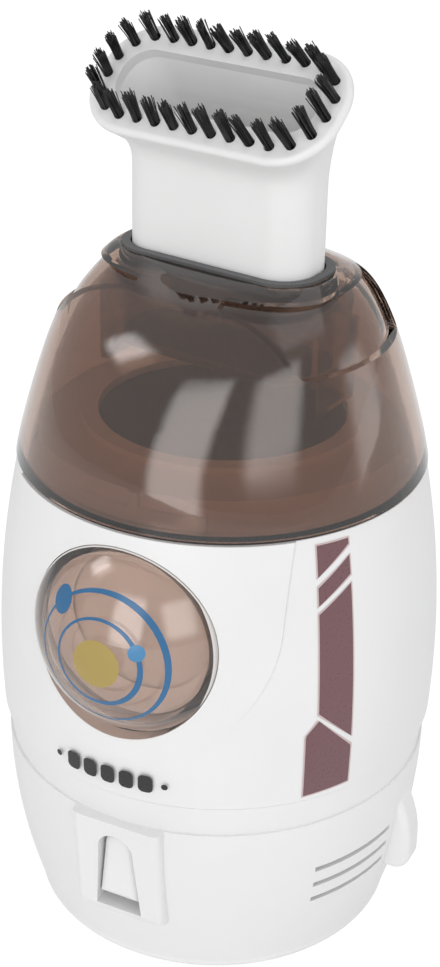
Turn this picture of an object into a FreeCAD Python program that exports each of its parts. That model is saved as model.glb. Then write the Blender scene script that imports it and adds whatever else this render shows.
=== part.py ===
import FreeCAD, Part
import math
import os
import Sketcher

os.makedirs("parts", exist_ok=True)

doc = FreeCAD.newDocument("desk_vacuum")
sheet = doc.addObject("Spreadsheet::Sheet", "Sizes")

# Driving sizes in millimetres, heights from the desk, angles in degrees.
DRIVING = {
    # barrel body
    "belly_r": 37.9,
    "belly_z": 48.3,
    "barrel_r": 172.0,
    "cap_arc_r": 98.0,
    "cap_in": 0.3,
    "foot_lift": 0.3,
    "plate_thick": 1.7,
    "plate_round": 1.2,
    "parting_z": 32.5,
    "step_gap": 5.3,
    "step_in": 0.7,
    "step_rise": 0.8,
    "seam_z": 84.8,
    "shell_wall": 2.2,
    "cap_wall": 2.0,
    "lip_rise": 2.8,
    "lip_wall": 1.2,
    "lip_root": 2.2,
    "lip_slope": 1.5,
    # bib panel and porthole in the front of the shell, measured down from the seam
    "bib_half": 24.2,
    "bib_rise": 0.45,
    "bib_drop": 14.5,
    "port_drop": 18.4,
    "port_r": 16.25,
    "lens_bulge_r": 19.1,
    "lens_centre_y": 24.4,
    "lens_drop": 1.1,
    "lens_proud": 0.1,
    "lens_wall": 1.6,
    "lens_flange": 0.65,
    "lens_flange_thick": 1.2,
    "lens_flange_y": 29.6,
    "back_thick": 1.2,
    # front and rear pods and side fins on the cap
    "pod_half": 8.1,
    "pod_root_in": 4.7,
    "pod_out": 2.05,
    "pod_face_arc_r": 45.0,
    "pod_face_z": 17.8,
    "front_pod_out": 0.3,
    "front_pod_slant": 1.7,
    "fin_turn": 90.0,
    "fin_half": 2.8,
    "fin_out": 1.1,
    "fin_arc_r": 19.2,
    "fin_face_z": 17.0,
    "fin_top_z": 27.0,
    "pod_chin_round": 3.0,
    "pod_low_z": 11.3,
    "pod_round": 1.3,
    # vents
    "vent_high": 1.0,
    "vent_pitch": 3.5,
    "vent_low_z": 14.7,
    "vent_start": 53.5,
    "vent_sweep": 28.5,
    # feet and screws of the base
    "foot_r": 22.0,
    "foot_tall": 1.3,
    "boss_r": 2.7,
    "boss_bite": 0.7,
    "boss_tall": 9.0,
    "screw_r": 1.1,
    "screw_head_r": 2.0,
    "screw_head_tall": 0.9,
    "screw_long": 7.0,
    "small_screw_r": 0.95,
    "small_head_r": 1.7,
    "small_head_tall": 0.8,
    "small_screw_long": 4.6,
    # deck, fan and motor
    "deck_drop": 1.3,
    "deck_thick": 1.6,
    "deck_fit": 0.3,
    "deck_eye_r": 9.5,
    "neck_gap": 1.9,
    "neck_wall": 1.6,
    "neck_rise": 5.7,
    "cone_rise": 1.1,
    "seat_wide": 2.0,
    "ledge_wide": 2.6,
    "ledge_thick": 2.0,
    "lug_out": 0.8,
    "lug_tall": 2.4,
    "lug_rise": 0.7,
    "lug_span": 43.0,
    "key_wide": 1.6,
    "shroud_r": 25.4,
    "shroud_wall": 1.2,
    "shroud_tall": 11.2,
    "shroud_floor": 1.4,
    "window_wide": 9.0,
    "window_tall": 5.5,
    "shroud_boss_r": 1.7,
    "shroud_boss_ring_r": 22.2,
    "fan_r": 19.4,
    "fan_plate": 1.2,
    "fan_gap": 1.2,
    "blade_tall": 6.2,
    "blade_thick": 0.9,
    "blade_arc_r": 13.0,
    "hub_r": 3.4,
    "shaft_r": 1.0,
    "shaft_fit": 0.05,
    "shaft_rise": 1.5,
    "motor_r": 12.0,
    "motor_long": 31.0,
    "motor_boss_r": 5.0,
    "motor_boss_tall": 1.9,
    "end_cap_r": 10.5,
    "end_cap_tall": 2.5,
    "motor_screw_ring_r": 8.2,
    # battery
    "cell_r": 9.0,
    "cell_long": 50.0,
    "cell_y": 4.0,
    "cell_z": 14.0,
    "cell_nub_r": 3.0,
    "cell_nub_long": 0.4,
    "cradle_half_y": 9.2,
    "cradle_tall": 9.0,
    "cradle_end_tall": 17.0,
    "cradle_end_wide": 12.0,
    "cradle_end_thick": 0.9,
    "contact_thick": 0.35,
    "contact_wide": 8.0,
    "contact_tall": 11.0,
    # boards, port and switch
    "board_thick": 1.2,
    "main_board_half": 10.5,
    "main_board_y": 16.8,
    "main_board_long": 12.0,
    "main_board_z": 11.5,
    "post_r": 1.8,
    "port_wide": 8.94,
    "port_tall": 3.2,
    "port_long": 7.6,
    "port_in": 3.7,
    "port_skin": 0.3,
    "port_tongue_tall": 0.7,
    "plug_wide": 13.0,
    "plug_tall": 6.4,
    "plug_step": 0.5,
    "switch_board_half": 8.0,
    "switch_board_y": 23.8,
    "switch_board_tall": 27.8,
    "rib_thick": 1.3,
    "rib_half": 5.0,
    "rib_tall": 4.5,
    "switch_half": 2.2,
    "switch_deep": 2.9,
    "switch_tall": 13.0,
    "switch_low_z": 16.3,
    "lever_half": 1.0,
    "lever_tall": 2.4,
    "lever_rise": 7.2,
    "lever_deep": 1.3,
    # power slider in the front pod
    "slot_half": 4.2,
    "slot_top_r": 3.2,
    "slot_low_z": 13.7,
    "slot_tall": 13.0,
    "slider_gap": 0.4,
    "slider_travel": 2.0,
    "slider_in": 1.3,
    "slider_round": 1.7,
    "slider_back_y": 30.0,
    "slider_back_thick": 1.2,
    "slider_back_half": 5.6,
    "slider_back_rise": 1.4,
    "slider_back_tall": 16.6,
    # dust cup
    "cup_turn": -8.0,
    "gasket_thick": 0.6,
    "gasket_wide": 1.7,
    "dome_proud": 0.3,
    "dome_tall": 33.4,
    "dome_wall": 2.2,
    "scoop_deep": 1.3,
    "scoop_half": 14.4,
    "scoop_low": 22.4,
    "scoop_tall": 9.2,
    "scoop_round": 1.2,
    "scoop_start": 8.0,
    "collar_half": 18.3,
    "collar_side": 8.2,
    "collar_corner": 7.1,
    "collar_proud": 0.5,
    "neck_fit": 0.3,
    "press_fit": 0.05,
    "duct_half": 20.9,
    "duct_side": 10.2,
    "duct_corner": 8.8,
    "duct_wall": 1.4,
    "duct_low_wall": 3.1,
    "duct_tall": 15.0,
    "duct_stop": 1.4,
    "leg_half": 5.8,
    "leg_drop": 6.0,
    "passage_half": 15.4,
    "passage_side": 5.1,
    "passage_corner": 4.4,
    # flap under the duct
    "flap_half": 19.1,
    "flap_side": 8.1,
    "flap_corner": 7.2,
    "flap_thick": 1.0,
    "flap_gap": 0.3,
    "pin_r": 0.8,
    "pin_fit": 0.06,
    "pin_back_y": 12.3,
    "knuckle_r": 1.6,
    "knuckle_half": 4.7,
    "ear_in": 5.2,
    "ear_thick": 2.0,
    "ear_tall": 4.6,
    # filter pack
    "carrier_r": 21.9,
    "carrier_flange": 1.5,
    "carrier_thick": 1.0,
    "carrier_wall": 1.3,
    "carrier_deep": 5.3,
    "carrier_floor": 1.2,
    "carrier_lip": 1.9,
    "filter_fit": 0.2,
    "pleat_tall": 2.3,
    "pleat_pitch": 2.8,
    "pleat_wide": 1.2,
    "pleat_deep": 1.2,
    "sponge_tall": 1.0,
    "mesh_thick": 0.6,
    # brush nozzle
    "spout_depth": 6.2,
    "spout_half": 16.6,
    "spout_side": 6.5,
    "spout_corner": 5.5,
    "spout_wall": 1.5,
    "spout_bend_rise": 13.5,
    "head_rise": 27.35,
    "head_out": 4.0,
    "head_tilt": 40.0,
    "head_half": 22.2,
    "head_side": 10.4,
    "head_corner": 9.2,
    "head_rim": 1.8,
    "head_round": 0.88,
    "mouth_half": 17.9,
    "mouth_side": 5.1,
    "mouth_corner": 4.5,
    "tuft_half": 19.9,
    "tuft_side": 7.6,
    "tuft_corner": 6.4,
    "tuft_r": 0.75,
    "tuft_fit": 0.05,
    "tuft_long": 6.0,
    "tuft_sunk": 1.6,
    "tuft_lean": 9.0,
    # wiring
    "lead_r": 0.55,
    "lead_bend_r": 3.0,
    "lead_half_gap": 3.0,
    "overrun": 2.0,
}

BLADES = 9
TUFTS = 29
BASE_SCREWS = 4
LUGS = 3
WINDOWS = 6
VENT_ROWS = 3
FLARE_STEPS = 7
# A screw's drive recess, as a share of its shank
DRIVE_SHARE = 0.8
# Two directions count as one where the cosine between them is above this
ALIGNED = 0.9
# Places round the axis, in degrees from +x
FRONT = -90.0
HALF_TURN = 180.0
FIRST_BASE_SCREW = 45.0
FIRST_LUG = FRONT
FIRST_DECK_SCREW = 90.0
FIRST_WINDOW = 60.0


class Size:
    """A number and the sheet expression that it comes from."""

    def __init__(self, number, text):
        self.number = float(number)
        self.text = text

    def joined(self, other, sign, number):
        return Size(number, "(%s %s %s)" % (self.text, sign, other.text))

    def __add__(self, other):
        other = as_size(other)
        return self.joined(other, "+", self.number + other.number)

    def __sub__(self, other):
        other = as_size(other)
        return self.joined(other, "-", self.number - other.number)

    def __mul__(self, other):
        other = as_size(other)
        return self.joined(other, "*", self.number * other.number)

    def __truediv__(self, other):
        other = as_size(other)
        return self.joined(other, "/", self.number / other.number)

    def __neg__(self):
        return Size(-self.number, "(0 - %s)" % self.text)

    __radd__ = __add__
    __rmul__ = __mul__


def as_size(value):
    return value if isinstance(value, Size) else Size(value, repr(value))


def root(size):
    return Size(math.sqrt(size.number), "sqrt(%s)" % size.text)


class Named:
    """Every driving size by its name."""


Z = Named()
for row, (name, number) in enumerate(DRIVING.items(), start=1):
    sheet.set("A%d" % row, name)
    sheet.set("B%d" % row, str(number))
    sheet.setAlias("B%d" % row, name)
    setattr(Z, name, Size(number, "Sizes." + name))
doc.recompute()

NONE = as_size(0)


def bind(thing, path, size):
    thing.setExpression(path, as_size(size).text)


def move(thing, x=NONE, y=NONE, z=NONE, rotation=None):
    """Places an object, with its three coordinates bound to the sheet."""
    if rotation:
        thing.Placement = FreeCAD.Placement(FreeCAD.Vector(), rotation)
    for letter, size in (("x", x), ("y", y), ("z", z)):
        bind(thing, ".Placement.Base." + letter, size)
    return thing


FORWARD = FreeCAD.Rotation(FreeCAD.Vector(1, 0, 0), 90)
SIDEWAYS = FreeCAD.Rotation(FreeCAD.Vector(0, 1, 0), 90)


def about_z(degrees):
    return FreeCAD.Rotation(FreeCAD.Vector(0, 0, 1), degrees)


def cylinder(name, radius, height, x=NONE, y=NONE, z=NONE, rotation=None):
    thing = doc.addObject("Part::Cylinder", name)
    bind(thing, "Radius", radius)
    bind(thing, "Height", height)
    return move(thing, x, y, z, rotation)


def block(name, wide, deep, tall, x=NONE, y=NONE, z=NONE):
    """A box centred on x and y, standing on z."""
    thing = doc.addObject("Part::Box", name)
    bind(thing, "Length", wide)
    bind(thing, "Width", deep)
    bind(thing, "Height", tall)
    return move(thing, x - as_size(wide) / 2, y - as_size(deep) / 2, z)


def fuse(name, *pieces, refine=True):
    thing = doc.addObject("Part::MultiFuse", name)
    thing.Shapes = list(pieces)
    thing.Refine = refine
    return thing


def cut(name, base, *tools, refine=True):
    thing = doc.addObject("Part::Cut", name)
    thing.Refine = refine
    thing.Base = base
    thing.Tool = tools[0] if len(tools) == 1 else fuse(name + "_tools", *tools)
    return thing


def common(name, first, second, refine=True):
    thing = doc.addObject("Part::Common", name)
    thing.Refine = refine
    thing.Base = first
    thing.Tool = second
    return thing


def ring(name, outer, inner, height, z):
    bore = cylinder(name + "_bore", inner, height + 2 * Z.overrun, z=z - Z.overrun)
    return cut(name, cylinder(name + "_rod", outer, height, z=z), bore)


def origin_plane(body, role):
    return [feature for feature in body.Origin.OriginFeatures if feature.Role == role][0]


def new_sketch(body, role, offset=NONE):
    sketch = body.newObject("Sketcher::SketchObject", body.Name + "_sketch")
    sketch.AttachmentSupport = [(origin_plane(body, role), "")]
    sketch.MapMode = "FlatFace"
    bind(sketch, ".AttachmentOffset.Base.z", offset)
    return sketch


def draw(sketch, points, arcs):
    """Draws a closed outline. arcs maps a point's place to the radius of the arc that leaves it,
    and to 1 where the arc's centre lies on the left of its run, or -1 on the right."""
    count = len(points)
    starts = []
    for place in range(count):
        here = FreeCAD.Vector(points[place][0].number, points[place][1].number, 0)
        there_point = points[(place + 1) % count]
        there = FreeCAD.Vector(there_point[0].number, there_point[1].number, 0)
        if place not in arcs:
            sketch.addGeometry(Part.LineSegment(here, there))
            starts.append((1, 2))
            continue
        radius, side = arcs[place]
        run = there - here
        reach = math.sqrt(max(radius.number ** 2 - (run.Length / 2) ** 2, 0))
        left = FreeCAD.Vector(-run.y, run.x, 0).normalize()
        centre = here + run * 0.5 + left * (side * reach)
        first, last = (here, there) if side > 0 else (there, here)
        begin = math.atan2(first.y - centre.y, first.x - centre.x)
        end = math.atan2(last.y - centre.y, last.x - centre.x)
        circle = Part.Circle(centre, FreeCAD.Vector(0, 0, 1), radius.number)
        sketch.addGeometry(Part.ArcOfCircle(circle, begin, end))
        starts.append((1, 2) if side > 0 else (2, 1))
        spot = sketch.addConstraint(Sketcher.Constraint("Radius", place, radius.number))
        bind(sketch, "Constraints[%d]" % spot, radius)
    for place in range(count):
        following = (place + 1) % count
        joint = Sketcher.Constraint("Coincident", place, starts[place][1], following, starts[following][0])
        sketch.addConstraint(joint)
    for place, point in enumerate(points):
        for kind, size in (("DistanceX", point[0]), ("DistanceY", point[1])):
            distance = Sketcher.Constraint(kind, -1, 1, place, starts[place][0], size.number)
            spot = sketch.addConstraint(distance)
            bind(sketch, "Constraints[%d]" % spot, size)


def turned(name, points, arcs={}):
    """A solid turned about the sketch's upright axis from an outline of radii and heights."""
    body = doc.addObject("PartDesign::Body", name)
    sketch = new_sketch(body, "XZ_Plane")
    draw(sketch, points, arcs)
    turn = body.newObject("PartDesign::Revolution", name + "_turn")
    turn.Profile = sketch
    turn.ReferenceAxis = (sketch, ["V_Axis"])
    turn.Angle = 360
    return body


def padded(name, role, points, arcs, length, offset=NONE, middle=False):
    """A solid pushed out from an outline on one of the body's own planes."""
    body = doc.addObject("PartDesign::Body", name)
    sketch = new_sketch(body, role, offset)
    draw(sketch, points, arcs)
    pad = body.newObject("PartDesign::Pad", name + "_pad")
    pad.Profile = sketch
    bind(pad, "Length", length)
    pad.Midplane = middle
    return body


def barrel(z, inset=NONE):
    """The barrel's radius at a height, on the surface that lies inset below its skin."""
    arc = Z.barrel_r - inset
    rise = z - Z.belly_z
    return root(arc * arc - rise * rise) - (Z.barrel_r - Z.belly_r)


def cap(z, inset=NONE):
    """The cap's radius at a height, on the surface that lies inset below its skin."""
    arc = Z.cap_arc_r - inset
    drop = Z.parting_z - z
    top = barrel(Z.parting_z) - Z.cap_in
    return root(arc * arc - drop * drop) - (Z.cap_arc_r - top)


NODES = []


def node(thing, label, turn=False):
    """Gives a finished piece its name. A piece of the cup is turned with the cup."""
    thing.Label = label
    if turn:
        thing.Placement = FreeCAD.Placement(FreeCAD.Vector(), about_z(Z.cup_turn.number))
    NODES.append(thing)
    return thing


# Heights that several pieces share
plate_top_z = Z.foot_lift + Z.plate_thick
step_z = Z.parting_z + Z.step_gap
deck_z = Z.seam_z - Z.deck_drop
deck_top_z = deck_z + Z.deck_thick
neck_top_z = Z.seam_z + Z.neck_rise
dome_low_z = Z.seam_z + Z.gasket_thick
dome_top_z = dome_low_z + Z.dome_tall
shroud_z = deck_z - Z.shroud_tall
motor_z = shroud_z - Z.motor_long
shaft_z = motor_z + Z.shaft_rise
port_z = Z.seam_z - Z.port_drop
seat_z = neck_top_z + Z.cone_rise
boss_top_z = plate_top_z + Z.boss_tall
deck_r = barrel(deck_z, Z.shell_wall) - Z.deck_fit
dome_r = barrel(Z.seam_z) + Z.dome_proud
neck_r = dome_r - Z.dome_wall - Z.neck_gap
boss_ring_r = cap(plate_top_z, Z.cap_wall) - Z.boss_r + Z.boss_bite
pod_face_r = Z.belly_r + Z.pod_out
front_pod_r = Z.belly_r + Z.front_pod_out
fin_r = Z.belly_r + Z.fin_out
plug_floor_y = Z.belly_r - Z.port_in + Z.plug_step
spout_low_z = dome_top_z - Z.spout_depth
duct_low_z = dome_top_z - Z.duct_tall


def polar(radius, degrees):
    angle = math.radians(degrees)
    return radius * math.cos(angle), radius * math.sin(angle)


def spread(count, start):
    """Evenly spaced angles round a circle."""
    return [start + 360.0 * turn / count for turn in range(count)]


def base_plate():
    radius = cap(plate_top_z)
    points = [
        (NONE, Z.foot_lift),
        (radius - Z.plate_round, Z.foot_lift),
        (radius, Z.foot_lift + Z.plate_round),
        (radius, plate_top_z),
        (NONE, plate_top_z),
    ]
    disc = turned("plate_disc", points, {1: (Z.plate_round, 1)})
    posts = []
    for side in (-1, 1):
        x = side * (Z.main_board_half - 2 * Z.post_r)
        y = Z.main_board_y + 2 * Z.post_r
        posts.append(cylinder("board_post", Z.post_r, Z.main_board_z - plate_top_z, x, y, plate_top_z))
    front = Z.switch_board_y + Z.board_thick + Z.press_fit + Z.rib_thick / 2
    rear = Z.switch_board_y - Z.press_fit - Z.rib_thick / 2
    for y in (-front, -rear):
        posts.append(block("board_rib", 2 * Z.rib_half, Z.rib_thick, Z.rib_tall, NONE, y, plate_top_z))
    solid = fuse("plate_solid", disc, *posts)
    tools = []
    tools.append(cylinder("foot_recess", Z.foot_r + Z.press_fit, Z.foot_tall, z=NONE))
    for degrees in spread(BASE_SCREWS, FIRST_BASE_SCREW):
        x, y = polar(boss_ring_r, degrees)
        tools.append(cylinder("screw_hole", Z.screw_r + Z.press_fit, Z.plate_thick * 2, x, y, NONE))
        head = Z.screw_head_r + Z.press_fit
        tools.append(cylinder("head_recess", head, Z.foot_lift + Z.screw_head_tall, x, y, NONE))
    node(cut("plate_cut", solid, *tools), "base_plate")


def foot_pad():
    node(cylinder("foot_disc", Z.foot_r, Z.foot_tall, z=NONE), "foot_pad")


def screw(radius, head_r, head_tall, length, x, y, z, up):
    """A screw whose head's outer face lies at z, with its shank on the side that up gives."""
    drive = cylinder("drive", radius * DRIVE_SHARE, head_tall, x, y, z - head_tall / 2)
    if up > 0:
        head = cylinder("head", head_r, head_tall, x, y, z)
        shank = cylinder("shank", radius, length, x, y, z + head_tall)
    else:
        head = cylinder("head", head_r, head_tall, x, y, z - head_tall)
        shank = cylinder("shank", radius, length, x, y, z - head_tall - length)
    return cut("screw", fuse("screw_blank", head, shank), drive)


def base_screws():
    screws = []
    for degrees in spread(BASE_SCREWS, FIRST_BASE_SCREW):
        x, y = polar(boss_ring_r, degrees)
        screws.append(screw(Z.screw_r, Z.screw_head_r, Z.screw_head_tall, Z.screw_long,
                            x, y, Z.foot_lift, 1))
    node(fuse("base_screw_set", *screws), "base_screws")


def arc_top(face_r, arc, rise):
    """The radius that an upright face reaches where its arc has risen by an amount."""
    return face_r - arc + root(arc * arc - rise * rise)


def pod(degrees, half, top_r, face_r, top_z, face_z=None, arc=None):
    """One pod or fin, a bulge with flat sides that stands out of the cap at an angle from the front.
    With an arc its face is upright below face_z and follows the arc from there to its top,
    without one it slants from its top to its chin."""
    root_r = Z.belly_r - Z.pod_root_in
    chin = Z.pod_chin_round
    points = [(-root_r, top_z), (-top_r, top_z)]
    arcs = {}
    if arc is not None:
        points.append((-face_r, face_z))
        arcs[1] = (arc, 1)
    arcs[len(points)] = (chin, 1)
    points += [
        (-face_r, Z.pod_low_z + chin),
        (chin - face_r, Z.pod_low_z),
        (-root_r, Z.pod_low_z),
    ]
    body = padded("pod", "YZ_Plane", points, arcs, 2 * half, middle=True)
    doc.recompute()
    pad = body.Tip
    outer = []
    for place, edge in enumerate(pad.Shape.Edges, start=1):
        middle = edge.valueAt((edge.FirstParameter + edge.LastParameter) / 2)
        on_side = all(abs(abs(spot.x) - half.number) < Z.press_fit.number
                      for spot in [vertex.Point for vertex in edge.Vertexes] + [middle])
        below_top = middle.z < (top_z - Z.press_fit).number
        if on_side and below_top and middle.y < -(root_r + Z.press_fit).number:
            outer.append("Edge%d" % place)
    rounding = body.newObject("PartDesign::Fillet", "pod_fillet")
    rounding.Base = (pad, outer)
    bind(rounding, "Radius", Z.pod_round)
    body.Tip = rounding
    body.Placement = FreeCAD.Placement(FreeCAD.Vector(), about_z(degrees))
    return body


def bottom_cap():
    lip_out = barrel(Z.parting_z, Z.shell_wall) - Z.press_fit * 3
    lip_in = lip_out - Z.lip_wall
    root_z = Z.parting_z - Z.lip_root
    slope_z = root_z - Z.lip_slope
    points = [
        (cap(plate_top_z), plate_top_z),
        (cap(Z.parting_z), Z.parting_z),
        (lip_out, Z.parting_z),
        (lip_out, Z.parting_z + Z.lip_rise),
        (lip_in, Z.parting_z + Z.lip_rise),
        (lip_in, root_z),
        (cap(slope_z, Z.cap_wall), slope_z),
        (cap(plate_top_z, Z.cap_wall), plate_top_z),
    ]
    arcs = {0: (Z.cap_arc_r, 1), 6: (Z.cap_arc_r - Z.cap_wall, -1)}
    pieces = [turned("cap_body", points, arcs)]
    pieces.append(pod(0.0, Z.pod_half, front_pod_r, front_pod_r - Z.front_pod_slant, Z.parting_z))
    rear_top_r = arc_top(pod_face_r, Z.pod_face_arc_r, Z.parting_z - Z.pod_face_z)
    pieces.append(pod(HALF_TURN, Z.pod_half, rear_top_r, pod_face_r, Z.parting_z, Z.pod_face_z,
                      Z.pod_face_arc_r))
    fin_top_r = arc_top(fin_r, Z.fin_arc_r, Z.fin_top_z - Z.fin_face_z)
    for degrees in (Z.fin_turn.number, -Z.fin_turn.number):
        pieces.append(pod(degrees, Z.fin_half, fin_top_r, fin_r, Z.fin_top_z, Z.fin_face_z, Z.fin_arc_r))
    tools = []
    for degrees in spread(BASE_SCREWS, FIRST_BASE_SCREW):
        x, y = polar(boss_ring_r, degrees)
        pieces.append(cylinder("boss", Z.boss_r, Z.boss_tall, x, y, plate_top_z))
        tools.append(cylinder("boss_hole", Z.screw_r + Z.press_fit, boss_top_z, x, y, NONE))
    tools += vent_tools()
    tools += [slot_tool(), plug_recess(), port_hole()]
    node(cut("cap_cut", fuse("cap_solid", *pieces), *tools), "bottom_cap")


def vent_tools():
    """Sectors that cut three rows of slots between the front pod and each side fin."""
    tools = []
    sweep = Z.vent_sweep.number
    for start in (FRONT + Z.vent_start.number, FRONT - Z.vent_start.number - sweep):
        for level in range(VENT_ROWS):
            z = Z.vent_low_z + Z.vent_pitch * level
            sector = cylinder("vent_sector", pod_face_r, Z.vent_high, z=z, rotation=about_z(start))
            bind(sector, "Angle", Z.vent_sweep)
            core = cylinder("vent_core", boss_ring_r, Z.vent_high, z=z)
            tools.append(cut("vent", sector, core))
    return tools


def arch_points(half, top_r, low_z, arc_z):
    """A slot with a flat foot and a round, narrower head, as seen from the front."""
    return [
        (-half, low_z),
        (half, low_z),
        (top_r, arc_z),
        (NONE, arc_z + top_r),
        (-top_r, arc_z),
    ], {2: (top_r, 1), 3: (top_r, 1)}


def slot_tool():
    points, arcs = arch_points(Z.slot_half, Z.slot_top_r, Z.slot_low_z, Z.slot_low_z + Z.slot_tall)
    return padded("slot_tool", "XZ_Plane", points, arcs, pod_face_r, offset=Z.slider_back_y)


def plug_recess():
    deep = pod_face_r
    z = Z.main_board_z + Z.board_thick + Z.port_tall / 2 - Z.plug_tall / 2
    return block("plug_recess", Z.plug_wide, deep, Z.plug_tall, NONE, plug_floor_y + deep / 2, z)


def port_hole():
    z = Z.main_board_z + Z.board_thick - Z.neck_fit
    wide = Z.port_wide + 2 * Z.neck_fit
    return block("port_hole", wide, Z.belly_r / 2, Z.port_tall + 2 * Z.neck_fit,
                 NONE, Z.belly_r - Z.port_in, z)


def main_shell():
    points = [
        (barrel(Z.parting_z, Z.step_in), Z.parting_z),
        (barrel(step_z, Z.step_in), step_z),
        (barrel(step_z + Z.step_rise), step_z + Z.step_rise),
        (barrel(Z.seam_z), Z.seam_z),
        (barrel(Z.seam_z, Z.shell_wall), Z.seam_z),
        (barrel(Z.parting_z, Z.shell_wall), Z.parting_z),
    ]
    arcs = {
        0: (Z.barrel_r - Z.step_in, 1),
        2: (Z.barrel_r, 1),
        4: (Z.barrel_r - Z.shell_wall, -1),
    }
    skin = turned("shell_body", points, arcs)

    low = step_z + Z.step_rise
    arc_z = Z.seam_z - Z.bib_drop
    inset = Z.shell_wall / 2
    points = [
        (barrel(low, -Z.bib_rise), low),
        (barrel(Z.seam_z, -Z.bib_rise), Z.seam_z),
        (barrel(Z.seam_z, inset), Z.seam_z),
        (barrel(low, inset), low),
    ]
    arcs = {0: (Z.barrel_r + Z.bib_rise, 1), 2: (Z.barrel_r - inset, -1)}
    band = turned("bib_band", points, arcs)
    points = [
        (-Z.bib_half, Z.seam_z),
        (-Z.bib_half, arc_z),
        (NONE, arc_z - Z.bib_half),
        (Z.bib_half, arc_z),
        (Z.bib_half, Z.seam_z),
    ]
    arcs = {1: (Z.bib_half, 1), 2: (Z.bib_half, 1)}
    bib = common("bib", band, padded("bib_prism", "XZ_Plane", points, arcs, Z.belly_r + Z.overrun))

    ledge_z = deck_z - Z.ledge_thick
    wall_r = barrel(deck_z, inset)
    ledge = ring("ledge", wall_r, wall_r - Z.ledge_wide - inset, Z.ledge_thick, ledge_z)
    solid = fuse("shell_solid", skin, bib, ledge)

    hole = cylinder("porthole", Z.port_r, Z.belly_r, NONE, -Z.lens_flange_y + Z.overrun, port_z, FORWARD)
    room = Z.port_r + 2 * Z.lens_flange
    clear_y = Z.lens_flange_y + Z.neck_fit
    clearance = cylinder("lens_room", room, clear_y, NONE, NONE, port_z, FORWARD)
    node(cut("shell_cut", solid, hole, clearance), "main_shell")


def porthole_lens():
    tube = Z.port_r - Z.press_fit * 3
    inner = tube - Z.lens_wall
    flange = Z.port_r + Z.lens_flange
    back_y = Z.lens_flange_y - Z.lens_flange_thick
    inner_r = Z.lens_bulge_r - Z.lens_wall
    bulge_z = port_z - Z.lens_drop

    rise = Z.bib_rise + Z.lens_proud
    low = port_z - Z.port_r
    high = port_z + Z.port_r
    points = [
        (NONE, low),
        (barrel(low, -rise), low),
        (barrel(high, -rise), high),
        (NONE, high),
    ]
    skin = turned("lens_skin", points, {1: (Z.barrel_r + rise, 1)})
    bulge = doc.addObject("Part::Sphere", "lens_bulge")
    bind(bulge, "Radius", Z.lens_bulge_r)
    move(bulge, NONE, -Z.lens_centre_y, bulge_z)
    reach = Z.lens_centre_y + Z.lens_bulge_r
    rod = cylinder("lens_rod", tube, reach - back_y, NONE, -back_y, port_z, FORWARD)
    solid = fuse("lens_solid", skin, bulge, refine=False)
    form = common("lens_form", solid, rod, refine=False)
    rim = cylinder("lens_rim", flange, Z.lens_flange_thick, NONE, -back_y, port_z, FORWARD)

    hollow = doc.addObject("Part::Sphere", "lens_hollow")
    bind(hollow, "Radius", inner_r)
    move(hollow, NONE, -Z.lens_centre_y, bulge_z)
    straight = root(inner_r * inner_r - inner * inner) - Z.lens_wall / 2
    bore = cylinder("lens_bore", inner, Z.lens_centre_y + straight, NONE, NONE, port_z, FORWARD)
    room = cylinder("lens_room_rod", inner, reach, NONE, NONE, port_z, FORWARD)
    dish = common("lens_dish", hollow, room, refine=False)
    blank = fuse("lens_blank", form, rim, refine=False)
    dished = cut("lens_dished", blank, dish, refine=False)
    node(cut("lens_cut", dished, bore, refine=False), "porthole_lens")

    back = cylinder("back_disc", Z.port_r + Z.lens_flange, Z.back_thick,
                    NONE, -(back_y - Z.back_thick), port_z, FORWARD)
    dish = cylinder("back_dish", inner - Z.lens_wall, Z.back_thick,
                    NONE, -(back_y - Z.back_thick / 2), port_z, FORWARD)
    node(cut("back_plate", back, dish), "porthole_back")


def deck():
    well_r = Z.carrier_r + Z.neck_fit
    points = [
        (Z.deck_eye_r, deck_z),
        (deck_r, deck_z),
        (deck_r, deck_top_z),
        (neck_r, deck_top_z),
        (neck_r, neck_top_z),
        (well_r + Z.seat_wide, seat_z),
        (well_r, seat_z),
        (well_r, seat_z - Z.neck_wall),
        (neck_r - Z.neck_wall, neck_top_z - Z.neck_wall),
        (neck_r - Z.neck_wall, deck_top_z),
        (Z.deck_eye_r, deck_top_z),
    ]
    pieces = [turned("deck_body", points)]
    lug_z = Z.seam_z + Z.lug_rise
    lug_r = neck_r + Z.lug_out
    for degrees in spread(LUGS, FIRST_LUG):
        start = degrees - Z.lug_span.number / 2
        sector = cylinder("lug_sector", lug_r, Z.lug_tall, z=lug_z, rotation=about_z(start))
        bind(sector, "Angle", Z.lug_span)
        core = cylinder("lug_core", neck_r - Z.neck_wall / 2, Z.lug_tall, z=lug_z)
        pieces.append(cut("lug", sector, core))
    key_z = lug_z + Z.lug_tall
    deep = Z.lug_out + Z.neck_wall / 2
    pieces.append(block("key", Z.key_wide, deep, neck_top_z - key_z, NONE, deep / 2 - lug_r, key_z))
    solid = fuse("deck_solid", *pieces)
    holes = []
    for degrees in spread(LUGS, FIRST_DECK_SCREW):
        x, y = polar(Z.shroud_boss_ring_r, degrees)
        holes.append(cylinder("deck_hole", Z.small_screw_r + Z.press_fit, Z.deck_thick * 3,
                              x, y, deck_z - Z.deck_thick))
    node(cut("deck_cut", solid, *holes), "deck")

    outer = barrel(Z.seam_z) - Z.press_fit * 4
    gasket = ring("gasket", outer, outer - Z.gasket_wide, Z.gasket_thick, Z.seam_z)
    node(gasket, "seam_gasket")


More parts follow.
